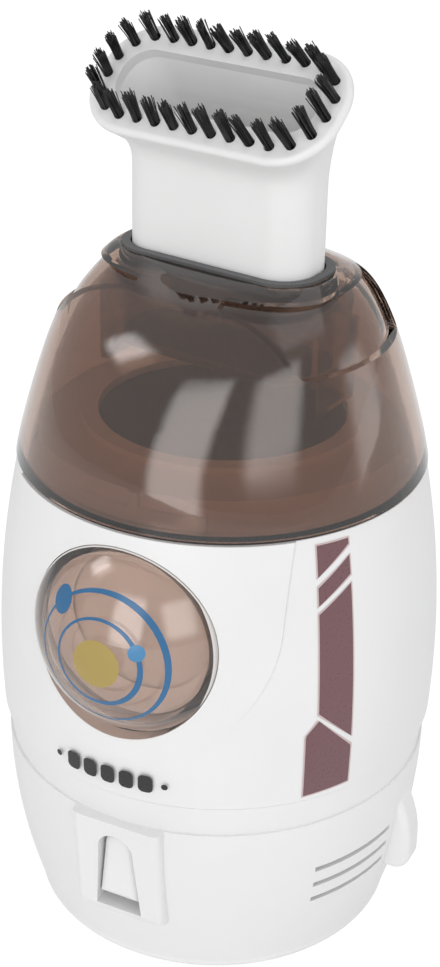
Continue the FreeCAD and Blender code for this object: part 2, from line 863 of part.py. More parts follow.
def fan_shroud():
    floor_z = shroud_z + Z.shroud_floor
    bore = Z.motor_boss_r + Z.neck_fit
    points = [
        (bore, shroud_z),
        (Z.shroud_r, shroud_z),
        (Z.shroud_r, deck_z),
        (Z.shroud_r - Z.shroud_wall, deck_z),
        (Z.shroud_r - Z.shroud_wall, floor_z),
        (bore, floor_z),
    ]
    pieces = [turned("shroud_body", points)]
    tools = []
    for degrees in spread(LUGS, FIRST_DECK_SCREW):
        x, y = polar(Z.shroud_boss_ring_r, degrees)
        pieces.append(cylinder("shroud_boss", Z.shroud_boss_r, deck_z - floor_z, x, y, floor_z))
        tools.append(cylinder("shroud_hole", Z.small_screw_r + Z.press_fit, deck_z,
                              x, y, deck_z - Z.small_screw_long))
    for side in (-1, 1):
        tools.append(cylinder("motor_screw_hole", Z.small_screw_r + Z.press_fit, Z.shroud_floor * 3,
                              side * Z.motor_screw_ring_r, NONE, shroud_z - Z.shroud_floor))
    for degrees in spread(WINDOWS, FIRST_WINDOW):
        window = doc.addObject("Part::Box", "window")
        bind(window, "Length", Z.shroud_wall * 4)
        bind(window, "Width", Z.window_wide)
        bind(window, "Height", Z.window_tall)
        window.Placement = FreeCAD.Placement(FreeCAD.Vector(), about_z(degrees))
        along, across = polar(Z.shroud_r - Z.shroud_wall * 3, degrees)
        aside, back = polar(Z.window_wide / 2, degrees + 90)
        z = floor_z + (deck_z - floor_z - Z.window_tall) / 2
        move(window, along - aside, across - back, z, about_z(degrees))
        tools.append(window)
    node(cut("shroud_cut", fuse("shroud_solid", *pieces), *tools), "fan_shroud")

    screws = []
    for degrees in spread(LUGS, FIRST_DECK_SCREW):
        x, y = polar(Z.shroud_boss_ring_r, degrees)
        screws.append(screw(Z.small_screw_r, Z.small_head_r, Z.small_head_tall, Z.small_screw_long,
                            x, y, deck_top_z + Z.small_head_tall, -1))
    node(fuse("deck_screw_set", *screws), "deck_screws")


def motor():
    can = fuse(
        "can_solid",
        cylinder("can", Z.motor_r, Z.motor_long, z=motor_z),
        cylinder("can_boss", Z.motor_boss_r, Z.motor_boss_tall, z=shroud_z),
    )
    bore_z = shaft_z - Z.shaft_r
    tools = [cylinder("can_bore", Z.shaft_r + Z.shaft_fit, Z.seam_z, z=bore_z)]
    for side in (-1, 1):
        tools.append(cylinder("can_screw_hole", Z.small_screw_r + Z.press_fit, Z.small_screw_long * 2,
                              side * Z.motor_screw_ring_r, NONE, shroud_z - Z.small_screw_long))
    node(cut("can_cut", can, *tools), "motor_can")

    low = motor_z - Z.end_cap_tall
    cap = cylinder("end_disc", Z.end_cap_r, Z.end_cap_tall, z=low)
    notches = []
    for side in (-1, 1):
        notches.append(block("end_notch", Z.lead_r * 6, Z.end_cap_r / 2, Z.end_cap_tall / 2,
                             NONE, side * Z.end_cap_r, low))
    node(cut("end_cap_cut", cap, *notches), "motor_end_cap")

    screws = []
    for side in (-1, 1):
        top = shroud_z + Z.shroud_floor + Z.small_head_tall
        screws.append(screw(Z.small_screw_r, Z.small_head_r, Z.small_head_tall, Z.small_screw_long,
                            side * Z.motor_screw_ring_r, NONE, top, -1))
    node(fuse("motor_screw_set", *screws), "motor_screws")


def rotor():
    plate_z = shroud_z + Z.shroud_floor + Z.fan_gap
    blade_z = plate_z + Z.fan_plate
    top_z = blade_z + Z.blade_tall
    body = turned("fan_body", [
        (NONE, plate_z),
        (Z.fan_r, plate_z),
        (Z.fan_r, blade_z),
        (Z.hub_r * 2, blade_z),
        (Z.hub_r, blade_z + Z.fan_plate),
        (Z.hub_r, top_z),
        (NONE, top_z),
    ])
    blade_centre = Z.fan_r / 2
    outer = Z.blade_arc_r + Z.blade_thick / 2
    inner = Z.blade_arc_r - Z.blade_thick / 2
    sketch = new_sketch(body, "XY_Plane", blade_z)
    reach = Z.fan_r - Z.blade_thick
    start = Z.hub_r - Z.blade_thick
    half = (reach - start) / 2
    middle = (reach + start) / 2
    dip = root(Z.blade_arc_r * Z.blade_arc_r - half * half)
    draw(sketch, [
        (middle - half * inner / Z.blade_arc_r, -dip + dip * inner / Z.blade_arc_r),
        (middle + half * inner / Z.blade_arc_r, -dip + dip * inner / Z.blade_arc_r),
        (middle + half * outer / Z.blade_arc_r, -dip + dip * outer / Z.blade_arc_r),
        (middle - half * outer / Z.blade_arc_r, -dip + dip * outer / Z.blade_arc_r),
    ], {0: (inner, -1), 2: (outer, 1)})
    blade = body.newObject("PartDesign::Pad", "blade_pad")
    blade.Profile = sketch
    bind(blade, "Length", Z.blade_tall)
    pattern = body.newObject("PartDesign::PolarPattern", "blade_pattern")
    pattern.Originals = [blade]
    pattern.Axis = (origin_plane(body, "Z_Axis"), [""])
    pattern.Angle = 360
    pattern.Occurrences = BLADES
    body.Tip = pattern
    bore = cylinder("fan_bore", Z.shaft_r, Z.seam_z, z=plate_z - Z.overrun)
    node(cut("fan_cut", body, bore), "impeller")
    shaft = cylinder("shaft", Z.shaft_r, top_z - shaft_z, z=shaft_z)
    node(shaft, "motor_shaft")


def battery():
    half = Z.cell_long / 2
    cell = fuse(
        "cell_solid",
        cylinder("cell", Z.cell_r, Z.cell_long - Z.cell_nub_long, -half, Z.cell_y, Z.cell_z, SIDEWAYS),
        cylinder("nub", Z.cell_nub_r, Z.cell_long, -half, Z.cell_y, Z.cell_z, SIDEWAYS),
    )
    node(cell, "battery_cell")

    end_in = half + Z.contact_thick + 2 * Z.press_fit
    end_out = end_in + Z.cradle_end_thick
    pieces = [block("cradle_block", 2 * end_out, 2 * Z.cradle_half_y, Z.cradle_tall,
                    NONE, Z.cell_y, plate_top_z)]
    for side in (-1, 1):
        x = side * (end_in + Z.cradle_end_thick / 2)
        pieces.append(block("cradle_end", Z.cradle_end_thick, Z.cradle_end_wide, Z.cradle_end_tall,
                            x, Z.cell_y, plate_top_z))
    trough = cylinder("trough", Z.cell_r + 2 * Z.press_fit, 2 * end_in, -end_in, Z.cell_y, Z.cell_z,
                      SIDEWAYS)
    hollow = cut("cradle_cut", fuse("cradle_solid", *pieces), trough)
    inset = Z.cap_wall + Z.deck_fit
    top_z = plate_top_z + Z.cradle_end_tall
    room = turned("cradle_room", [
        (NONE, plate_top_z),
        (cap(plate_top_z, inset), plate_top_z),
        (cap(top_z, inset), top_z),
        (NONE, top_z),
    ], {1: (Z.cap_arc_r - inset, 1)})
    node(common("cradle_fitted", hollow, room), "battery_cradle")

    tabs = []
    for side in (-1, 1):
        x = side * (half + Z.press_fit + Z.contact_thick / 2)
        tabs.append(block("contact", Z.contact_thick, Z.contact_wide, Z.contact_tall,
                          x, Z.cell_y, Z.cell_z - Z.contact_tall / 2))
    node(fuse("contact_set", *tabs), "battery_contacts")


lever_z = Z.switch_low_z + Z.lever_rise


def boards():
    y = Z.main_board_y + Z.main_board_long / 2
    node(block("main_board_plate", 2 * Z.main_board_half, Z.main_board_long, Z.board_thick,
               NONE, y, Z.main_board_z), "main_board")

    z = Z.main_board_z + Z.board_thick
    y = Z.belly_r - Z.port_in - Z.port_long / 2
    can = block("port_can", Z.port_wide, Z.port_long, Z.port_tall, NONE, y, z)
    mouth = block("port_mouth", Z.port_wide - 2 * Z.port_skin, Z.port_long,
                  Z.port_tall - 2 * Z.port_skin, NONE, y + Z.port_skin, z + Z.port_skin)
    tongue_z = z + (Z.port_tall - Z.port_tongue_tall) / 2
    tongue = block("port_tongue", Z.port_wide - 6 * Z.port_skin, Z.port_long - Z.port_skin * 4,
                   Z.port_tongue_tall, NONE, y - Z.port_skin * 2, tongue_z)
    node(fuse("port_solid", cut("port_shell", can, mouth), tongue), "charging_port")

    y = -(Z.switch_board_y + Z.board_thick / 2)
    node(block("switch_board_plate", 2 * Z.switch_board_half, Z.board_thick, Z.switch_board_tall,
               NONE, y, plate_top_z), "switch_board")

    back_y = Z.switch_board_y + Z.board_thick
    body = block("switch_box", 2 * Z.switch_half, Z.switch_deep, Z.switch_tall,
                 NONE, -(back_y + Z.switch_deep / 2), Z.switch_low_z)
    room = Z.lever_tall
    window_low = lever_z - Z.slider_travel - room / 2
    window = block("switch_window", 2 * (Z.lever_half + Z.neck_fit), 2 * Z.lever_deep + 2 * Z.neck_fit,
                   Z.lever_tall + Z.slider_travel + room, NONE, -(back_y + Z.switch_deep), window_low)
    node(cut("switch_cut", body, window), "slide_switch")


def power_slider():
    half = Z.slot_half - Z.slider_gap
    low = Z.slot_low_z + Z.slider_gap + Z.slider_travel
    points, arcs = arch_points(half, Z.slot_top_r - Z.slider_gap, low, Z.slot_low_z + Z.slot_tall)
    front = Z.slider_back_y + Z.slider_back_thick
    face_y = front_pod_r - Z.slider_in
    tongue = padded("tongue_body", "XZ_Plane", points, arcs, face_y - front, offset=front)
    doc.recompute()
    pad = tongue.Tip
    face_edges = []
    for place, edge in enumerate(pad.Shape.Edges, start=1):
        if all(abs(vertex.Point.y + face_y.number) < Z.press_fit.number for vertex in edge.Vertexes):
            face_edges.append("Edge%d" % place)
    rounding = tongue.newObject("PartDesign::Fillet", "tongue_fillet")
    rounding.Base = (pad, face_edges)
    bind(rounding, "Radius", Z.slider_round)
    tongue.Tip = rounding
    back = block("slider_back", 2 * Z.slider_back_half, Z.slider_back_thick, Z.slider_back_tall,
                 NONE, -(Z.slider_back_y + Z.slider_back_thick / 2),
                 Z.slot_low_z + Z.slider_back_rise)
    node(fuse("slider_solid", tongue, back), "power_slider")

    switch_front = Z.switch_board_y + Z.board_thick + Z.switch_deep
    long = Z.slider_back_y - switch_front + Z.lever_deep
    node(block("lever_block", 2 * Z.lever_half, long, Z.lever_tall,
               NONE, -(Z.slider_back_y - long / 2), lever_z), "switch_lever")


def rounded_outline(half, side, corner, z=0.0, out=0.0, tilt=0.0):
    """A rounded rectangle's wire. It lies at height z, moved out to the front and tilted that way."""
    flat_x = half - corner
    flat_y = side - corner
    diagonal = corner * math.sqrt(0.5)
    edges = []
    corners = [(1, -1), (1, 1), (-1, 1), (-1, -1)]
    spots = []
    for sign_x, sign_y in corners:
        centre = (sign_x * flat_x, sign_y * flat_y)
        along_x = (centre[0] + sign_x * corner, centre[1])
        along_y = (centre[0], centre[1] + sign_y * corner)
        middle = (centre[0] + sign_x * diagonal, centre[1] + sign_y * diagonal)
        leads = (along_y, middle, along_x) if sign_x * sign_y < 0 else (along_x, middle, along_y)
        spots.append([FreeCAD.Vector(x, y, 0) for x, y in leads])
    for place, (start, middle, end) in enumerate(spots):
        edges.append(Part.Arc(start, middle, end).toShape())
        edges.append(Part.LineSegment(end, spots[(place + 1) % 4][0]).toShape())
    wire = Part.Wire(edges)
    turn = FreeCAD.Rotation(FreeCAD.Vector(1, 0, 0), tilt)
    wire.Placement = FreeCAD.Placement(FreeCAD.Vector(0, -out, z), turn)
    return wire


def oval_outline(half, front, back, power, z):
    """A closed smooth curve between an ellipse, at power 2, and a box, at a higher power. Its depth
    differs to the front and to the back."""
    steps = 32
    points = []
    for step in range(steps):
        angle = 2 * math.pi * step / steps
        deep = back if math.sin(angle) > 0 else front
        x = math.copysign(abs(math.cos(angle)) ** (2 / power), math.cos(angle)) * half
        y = math.copysign(abs(math.sin(angle)) ** (2 / power), math.sin(angle)) * deep
        points.append(FreeCAD.Vector(x, y, z))
    curve = Part.BSplineCurve()
    curve.interpolate(Points=points, PeriodicFlag=True)
    return Part.Wire([curve.toShape()])


def shaped(name, shape):
    thing = doc.addObject("Part::Feature", name)
    thing.Shape = shape
    return thing


# The cup's outline: shares of its height, of its radius along the slot, to the front and to the
# back, and the power of the oval at that height.
DOME_SHARES = [
    (0.0, 1.0, 1.0, 1.0, 2.0),
    (0.18, 0.955, 0.966, 0.964, 2.0),
    (0.36, 0.907, 0.912, 0.907, 2.0),
    (0.53, 0.858, 0.826, 0.828, 2.05),
    (0.66, 0.815, 0.742, 0.760, 2.1),
    (0.77, 0.762, 0.643, 0.694, 2.2),
    (0.87, 0.690, 0.512, 0.625, 2.35),
    (0.945, 0.624, 0.391, 0.500, 2.6),
    (1.0, 0.560, 0.270, 0.340, 2.8),
]


def dome_form(inset, low, high):
    """The cup's solid form, drawn in by inset, between two heights."""
    radius = dome_r.number
    wires = []
    for rise, half, front, back, power in DOME_SHARES:
        z = low + rise * (high - low)
        wires.append(oval_outline(half * radius - inset, front * radius - inset, back * radius - inset,
                                  power, z))
    return Part.makeLoft(wires, True, False)


def prism(name, half, side, corner, low, high):
    """An upright block with a rounded rectangle for its plan."""
    wire = rounded_outline(half.number, side.number, corner.number, low.number)
    face = Part.Face(wire)
    return shaped(name, face.extrude(FreeCAD.Vector(0, 0, (high - low).number)))


def dust_cup():
    low, high = dome_low_z.number, dome_top_z.number
    wall = Z.dome_wall.number
    form = shaped("dome_outer", dome_form(0.0, low, high))
    core = shaped("dome_core", dome_form(wall, low, high - wall))
    scoop_core = shaped("scoop_core", dome_form(Z.scoop_deep.number, low, high))
    slot = prism("dome_slot", Z.collar_half + Z.press_fit, Z.collar_side + Z.press_fit,
                 Z.collar_corner + Z.press_fit, dome_top_z - Z.dome_wall * 2, dome_top_z + Z.overrun)
    for side in (-1, 1):
        x = side * (Z.scoop_start + dome_r / 2)
        grip = block("scoop_box", dome_r, 2 * Z.scoop_half, Z.scoop_tall, x, NONE,
                     dome_low_z + Z.scoop_low)
        rounded = doc.addObject("Part::Fillet", "scoop_round")
        rounded.Base = grip
        doc.recompute()
        lengthwise = []
        for place, edge in enumerate(grip.Shape.Edges, start=1):
            if abs(edge.tangentAt(edge.FirstParameter).x) > ALIGNED:
                lengthwise.append((place, Z.scoop_round.number, Z.scoop_round.number))
        rounded.Edges = lengthwise
        scoop = cut("scoop", rounded, scoop_core, refine=False)
        form = cut("dome_scooped", form, scoop, refine=False)
    shell = cut("dome_shell", form, core, refine=False)
    node(cut("dome_cut", shell, slot, refine=False), "dust_cup", turn=True)


def mouth_collar():
    top = dome_top_z + Z.collar_proud
    outer = prism("collar_outer", Z.collar_half, Z.collar_side, Z.collar_corner, spout_low_z, top)
    hole = Z.spout_half + Z.neck_fit
    inner = prism("collar_inner", hole, Z.spout_side + Z.neck_fit, Z.spout_corner + Z.neck_fit,
                  spout_low_z - Z.overrun, top + Z.overrun)
    node(cut("collar_cut", outer, inner), "mouth_collar", turn=True)


def inlet_duct():
    stop_z = spout_low_z - Z.duct_stop
    outer = prism("duct_outer", Z.duct_half, Z.duct_side, Z.duct_corner, duct_low_z, dome_top_z)
    ears = []
    pin_z = duct_low_z - Z.flap_gap - Z.flap_thick / 2
    for side in (-1, 1):
        x = side * (Z.ear_in + Z.ear_thick / 2)
        deep = Z.pin_back_y + Z.knuckle_r - Z.duct_side + Z.duct_wall
        y = Z.duct_side - Z.duct_wall + deep / 2
        ears.append(block("ear", Z.ear_thick, deep, Z.ear_tall, x, y, pin_z - Z.knuckle_r))
    for side in (-1, 1):
        x = side * (Z.duct_half - Z.duct_wall / 2)
        ears.append(block("leg", Z.duct_wall, 2 * Z.leg_half, Z.duct_tall / 2 + Z.leg_drop,
                          x, NONE, duct_low_z - Z.leg_drop))
    solid = fuse("duct_solid", outer, *ears)
    wall = Z.duct_wall
    upper = prism("duct_upper", Z.duct_half - wall, Z.duct_side - wall, Z.duct_corner - wall,
                  spout_low_z, dome_top_z + Z.overrun)
    passage = prism("duct_passage", Z.passage_half, Z.passage_side, Z.passage_corner,
                    stop_z - Z.overrun, dome_top_z)
    wall = Z.duct_low_wall
    lower = prism("duct_lower", Z.duct_half - wall, Z.duct_side - wall, Z.duct_corner - wall,
                  duct_low_z - Z.overrun, stop_z)
    pin_hole = cylinder("pin_hole", Z.pin_r + Z.press_fit, Z.duct_half * 2, -Z.duct_half,
                        Z.pin_back_y, pin_z, SIDEWAYS)
    hollow = cut("duct_hollow", solid, upper, passage, lower, pin_hole)
    room = shaped("duct_room", dome_form((Z.dome_wall + Z.press_fit * 2).number, dome_low_z.number,
                                         (dome_top_z - Z.dome_wall - Z.press_fit * 2).number))
    node(common("duct_cut", hollow, room), "inlet_duct", turn=True)

    reach = Z.ear_in + Z.ear_thick
    pin = cylinder("pin", Z.pin_r, 2 * reach + Z.pin_r, -reach, Z.pin_back_y, pin_z, SIDEWAYS)
    head = cylinder("pin_head", Z.knuckle_r, Z.pin_r, reach + Z.press_fit,
                    Z.pin_back_y, pin_z, SIDEWAYS)
    node(fuse("pin_solid", pin, head), "flap_pin", turn=True)

    flap_z = pin_z - Z.flap_thick / 2
    plate = prism("flap_plate", Z.flap_half, Z.flap_side, Z.flap_corner, flap_z, flap_z + Z.flap_thick)
    tab_deep = Z.pin_back_y - Z.passage_side
    tab = block("flap_tab", 2 * Z.knuckle_half, tab_deep, Z.flap_thick,
                NONE, Z.pin_back_y - tab_deep / 2, flap_z)
    knuckle = cylinder("knuckle", Z.knuckle_r, 2 * Z.knuckle_half, -Z.knuckle_half,
                       Z.pin_back_y, pin_z, SIDEWAYS)
    bore = cylinder("knuckle_bore", Z.pin_r + Z.pin_fit, 4 * Z.knuckle_half, -2 * Z.knuckle_half,
                    Z.pin_back_y, pin_z, SIDEWAYS)
    node(cut("flap_cut", fuse("flap_solid", plate, tab, knuckle), bore), "inlet_flap", turn=True)


def filter_pack():
    top = seat_z + Z.carrier_thick
    inner = Z.carrier_r - Z.carrier_wall
    low = seat_z - Z.carrier_deep
    floor_z = low + Z.carrier_floor
    flange = Z.carrier_r + Z.carrier_flange
    node(turned("carrier_body", [
        (inner - Z.carrier_lip, low),
        (Z.carrier_r, low),
        (Z.carrier_r, seat_z),
        (flange, seat_z),
        (flange, top),
        (inner, top),
        (inner, floor_z),
        (inner - Z.carrier_lip, floor_z),
    ]), "filter_carrier")

    filter_r = inner - Z.filter_fit
    node(cylinder("sponge", filter_r, Z.sponge_tall, z=floor_z), "filter_sponge")

    pleat_z = floor_z + Z.sponge_tall
    disc = cylinder("pleat_disc", filter_r, Z.pleat_tall, z=pleat_z)
    count = int((filter_r / Z.pleat_pitch).number)
    grooves = []
    for place in range(-count, count + 1):
        grooves.append(block("groove", Z.pleat_wide, 2 * Z.carrier_r, Z.pleat_deep,
                             place * Z.pleat_pitch, NONE, pleat_z + Z.pleat_tall - Z.pleat_deep))
    node(cut("pleat_cut", disc, *grooves), "filter_pleats")
    node(cylinder("mesh_disc", filter_r, Z.mesh_thick, z=pleat_z + Z.pleat_tall), "filter_mesh")


def flare_wires(neck, end, depth):
    """Sections of a flare that starts upright, as large as the neck, and leans forward and widens to
    another section, which lies at a depth under the nozzle's face."""
    bend = (dome_top_z + Z.spout_bend_rise).number
    tilt = Z.head_tilt.number
    lean = math.radians(tilt)
    end_z = (dome_top_z + Z.head_rise).number - depth * math.cos(lean)
    end_out = Z.head_out.number - depth * math.sin(lean)
    wires = [rounded_outline(*neck, bend - Z.head_rim.number)]
    for step in range(FLARE_STEPS + 1):
        share = step / FLARE_STEPS
        swing = share * share * (3 - 2 * share)
        sizes = [first + (last - first) * share * share for first, last in zip(neck, end)]
        wires.append(rounded_outline(*sizes, bend + (end_z - bend) * share,
                                     end_out * share * share, tilt * swing))
    return wires


def neck_prism(name, inset, low):
    """The nozzle's straight neck, drawn in by inset, up to where its flare starts."""
    high = dome_top_z + Z.spout_bend_rise - Z.head_rim
    return prism(name, Z.spout_half - inset, Z.spout_side - inset, Z.spout_corner - inset, low, high)


def head_block(name, half, side, corner, low, high):
    """A straight block on the nozzle's face, from low to high along the face's normal."""
    lean = math.radians(Z.head_tilt.number)
    normal = FreeCAD.Vector(0, -math.sin(lean), math.cos(lean))
    face_z = (dome_top_z + Z.head_rise).number
    wire = rounded_outline(half, side, corner, face_z + low * normal.z, Z.head_out.number - low * normal.y,
                           Z.head_tilt.number)
    return shaped(name, Part.Face(wire).extrude(normal * (high - low)))


def tuft_places():
    """Evenly spaced points, in the face's own plane, round the ring of tufts."""
    ring_wire = rounded_outline(Z.tuft_half.number, Z.tuft_side.number, Z.tuft_corner.number)
    return ring_wire.discretize(Number=TUFTS + 1)[:TUFTS]


def tuft_set(name, radius, low, high):
    """One rod for each tuft, from low to high along its own line. The tufts lean in to the middle of
    the ring, most of all at its ends."""
    tilt = FreeCAD.Rotation(FreeCAD.Vector(1, 0, 0), Z.head_tilt.number)
    face = FreeCAD.Vector(0, -Z.head_out.number, (dome_top_z + Z.head_rise).number)
    lean = math.tan(math.radians(Z.tuft_lean.number)) / Z.tuft_half.number
    rods = []
    for place in tuft_places():
        line = tilt.multVec(FreeCAD.Vector(-lean * place.x, -lean * place.y, 1)).normalize()
        foot = face + tilt.multVec(place) + line * low
        rods.append(Part.makeCylinder(radius, high - low, foot, line))
    return shaped(name, Part.Compound(rods))


def brush_nozzle():
    rim = Z.head_rim.number
    overrun = Z.overrun.number
    neck = [Z.spout_half.number, Z.spout_side.number, Z.spout_corner.number]
    head = [Z.head_half.number, Z.head_side.number, Z.head_corner.number]
    mouth = [Z.mouth_half.number, Z.mouth_side.number, Z.mouth_corner.number]
    flare = shaped("flare_outer", Part.makeLoft(flare_wires(neck, head, rim / 2), True, False))
    rim_block = head_block("head_rim_block", *head, -rim, 0.0)
    lean = math.radians(Z.head_tilt.number)
    normal = FreeCAD.Vector(0, -math.sin(lean), math.cos(lean))
    ends = [face for face in rim_block.Shape.Faces if abs(face.normalAt(0, 0).dot(normal)) > ALIGNED]
    round_edges = [edge for face in ends for edge in face.Edges]
    rim_round = shaped("head_rim_round", rim_block.Shape.makeFillet(Z.head_round.number, round_edges))
    bore = [size - Z.spout_wall.number for size in neck]
    face_z = (dome_top_z + Z.head_rise).number
    hollow_wires = flare_wires(bore, mouth, rim)
    hollow_wires.append(rounded_outline(*mouth, face_z + overrun * math.cos(lean),
                                        Z.head_out.number + overrun * math.sin(lean), Z.head_tilt.number))
    hollow = shaped("flare_inner", Part.makeLoft(hollow_wires, True, True))
    holes = tuft_set("tuft_holes", (Z.tuft_r + Z.tuft_fit).number, -Z.tuft_sunk.number, overrun)
    solid = fuse("spout_solid", neck_prism("neck_outer", NONE, spout_low_z), flare, rim_round)
    passage = neck_prism("neck_inner", Z.spout_wall, spout_low_z - Z.overrun)
    node(cut("spout_cut", solid, passage, hollow, holes), "brush_nozzle", turn=True)
    tufts = tuft_set("tuft_rods", Z.tuft_r.number, -Z.tuft_sunk.number, Z.tuft_long.number)
    node(tufts, "brush_tufts", turn=True)


def lead(points):
    """A round lead along straight runs that are joined by arcs of one radius."""
    bend = Z.lead_bend_r.number
    spots = [FreeCAD.Vector(*(size.number for size in point)) for point in points]
    edges = []
    last = spots[0]
    for before, here, after in zip(spots, spots[1:], spots[2:]):
        to_before = (before - here).normalize()
        to_after = (after - here).normalize()
        half_turn = to_before.getAngle(to_after) / 2
        reach = bend / math.tan(half_turn)
        centre = here + (to_before + to_after).normalize() * (bend / math.sin(half_turn))
        first = here + to_before * reach
        second = here + to_after * reach
        middle = centre + (here - centre).normalize() * bend
        edges.append(Part.LineSegment(last, first).toShape())
        edges.append(Part.Arc(first, middle, second).toShape())
        last = second
    edges.append(Part.LineSegment(last, spots[-1]).toShape())
    path = Part.Wire(edges)
    start = Part.Circle(spots[0], spots[1] - spots[0], Z.lead_r.number)
    return path.makePipeShell([Part.Wire([start.toShape()])], True, False)


def leads():
    gap = Z.lead_half_gap
    motor_low = motor_z - Z.end_cap_tall
    board_y = -(Z.switch_board_y - Z.press_fit)
    motor_pair = []
    for side in (-1, 1):
        x = side * gap
        y = -(Z.end_cap_r / 2)
        z = Z.switch_low_z + Z.switch_tall / 2
        motor_pair.append(lead([(x, y, motor_low), (x, y, z), (x, board_y, z)]))
    node(shaped("motor_pair", Part.Compound(motor_pair)), "motor_leads")

    port_pair = []
    for side in (-1, 1):
        x = side * (Z.main_board_half - Z.post_r)
        y = Z.main_board_y + Z.post_r
        low = Z.main_board_z + Z.board_thick
        high = Z.cell_z + Z.cell_r + Z.lead_bend_r
        end_z = high - Z.cell_nub_r
        port_pair.append(lead([(x, y, low), (x, y, high), (x / 2, board_y + Z.board_thick, end_z),
                               (x / 2, board_y, end_z)]))
    node(shaped("port_pair", Part.Compound(port_pair)), "charging_leads")


base_plate()
foot_pad()
base_screws()
bottom_cap()
main_shell()
porthole_lens()
deck()
fan_shroud()
motor()
rotor()
battery()
boards()
power_slider()
dust_cup()
mouth_collar()
inlet_duct()
filter_pack()
brush_nozzle()
leads()
doc.recompute()


def check(things):
    """Stops before anything is written if a step failed or a piece is empty or broken."""
    for thing in doc.Objects:
        if "Invalid" in thing.State or "Error" in thing.State:
            raise RuntimeError("failed: %s %s" % (thing.Name, thing.State))
    for thing in things:
        if thing.Shape.isNull() or not thing.Shape.isValid() or thing.Shape.Volume <= 0:
            raise RuntimeError("bad shape: " + thing.Label)


check(NODES)
for thing in NODES:
    thing.Shape.exportStep("parts/%s.step" % thing.Label)
    print(thing.Label, len(thing.Shape.Solids), round(thing.Shape.Volume))
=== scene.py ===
import math
import random

import bpy
from mathutils import Matrix, Vector


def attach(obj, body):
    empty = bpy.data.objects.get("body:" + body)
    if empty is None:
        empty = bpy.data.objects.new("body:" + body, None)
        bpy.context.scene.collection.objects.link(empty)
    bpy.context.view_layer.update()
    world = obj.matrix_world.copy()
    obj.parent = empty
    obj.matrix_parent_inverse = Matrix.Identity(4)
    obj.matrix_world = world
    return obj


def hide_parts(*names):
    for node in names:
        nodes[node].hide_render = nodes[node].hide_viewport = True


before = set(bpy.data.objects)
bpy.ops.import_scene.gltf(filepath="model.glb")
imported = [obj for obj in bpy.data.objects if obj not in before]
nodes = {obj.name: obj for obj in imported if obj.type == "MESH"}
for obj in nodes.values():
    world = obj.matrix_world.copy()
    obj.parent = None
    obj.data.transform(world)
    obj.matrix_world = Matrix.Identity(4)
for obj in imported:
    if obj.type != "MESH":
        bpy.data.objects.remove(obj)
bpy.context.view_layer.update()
rng = random.Random(7)

MM = 0.001
IMAGE_HIGH = 967

# The barrel's skin, in millimetres from the desk and the axis
BELLY_R, BELLY_Z, BARREL_R = 37.9, 48.3, 172.0
SEAM_Z = 84.8
BIB_RISE = 0.45

# The porthole's height, the sphere of its lens, and the radius and front of the sleeve behind it
PORT_DROP, LENS_DROP = 18.4, 1.1
PORT_Z = SEAM_Z - PORT_DROP
LENS_R, LENS_Y, LENS_Z = 19.1, -24.4, PORT_Z - LENS_DROP
SLEEVE_R, SLEEVE_FRONT = 15.9, 35.5


def barrel(z):
    rise = z - BELLY_Z
    return BELLY_R - (BARREL_R - math.sqrt(BARREL_R ** 2 - rise ** 2))


# Camera: it looks at the axis at the seam's height, and the offsets from there are in pixels

AZIMUTH = math.radians(25.5)
ELEVATION = math.radians(26.23)
ROLL = math.radians(1.27)
DISTANCE = 300.2 * MM
FOCAL_PX = 1793.5
OFF_X, OFF_Y = 1.6, -37.4


def make_camera():
    sin_a, cos_a = math.sin(AZIMUTH), math.cos(AZIMUTH)
    sin_e, cos_e = math.sin(ELEVATION), math.cos(ELEVATION)
    right = Vector((cos_a, sin_a, 0))
    up = Vector((-sin_a * sin_e, cos_a * sin_e, cos_e))
    back = Vector((sin_a * cos_e, -cos_a * cos_e, sin_e))
    place = back * DISTANCE + Vector((0, 0, SEAM_Z * MM))
    turned_right = right * math.cos(ROLL) + up * math.sin(ROLL)
    turned_up = up * math.cos(ROLL) - right * math.sin(ROLL)
    axes = Matrix((turned_right, turned_up, back)).transposed()
    camera = bpy.data.objects.new("camera", bpy.data.cameras.new("camera"))
    bpy.context.scene.collection.objects.link(camera)
    camera.matrix_world = Matrix.Translation(place) @ axes.to_4x4()
    lens = camera.data
    lens.sensor_fit = "VERTICAL"
    lens.sensor_height = 36.0
    lens.lens = FOCAL_PX * lens.sensor_height / IMAGE_HIGH
    shift_x = OFF_X * math.cos(ROLL) - OFF_Y * math.sin(ROLL)
    shift_y = OFF_X * math.sin(ROLL) + OFF_Y * math.cos(ROLL)
    lens.shift_x = -shift_x / IMAGE_HIGH
    lens.shift_y = shift_y / IMAGE_HIGH
    lens.clip_start = 0.01
    lens.clip_end = 20
    bpy.context.scene.camera = camera
    return camera


make_camera()


# Materials: lengths are in millimetres, and a noise's scale is in cells to the metre

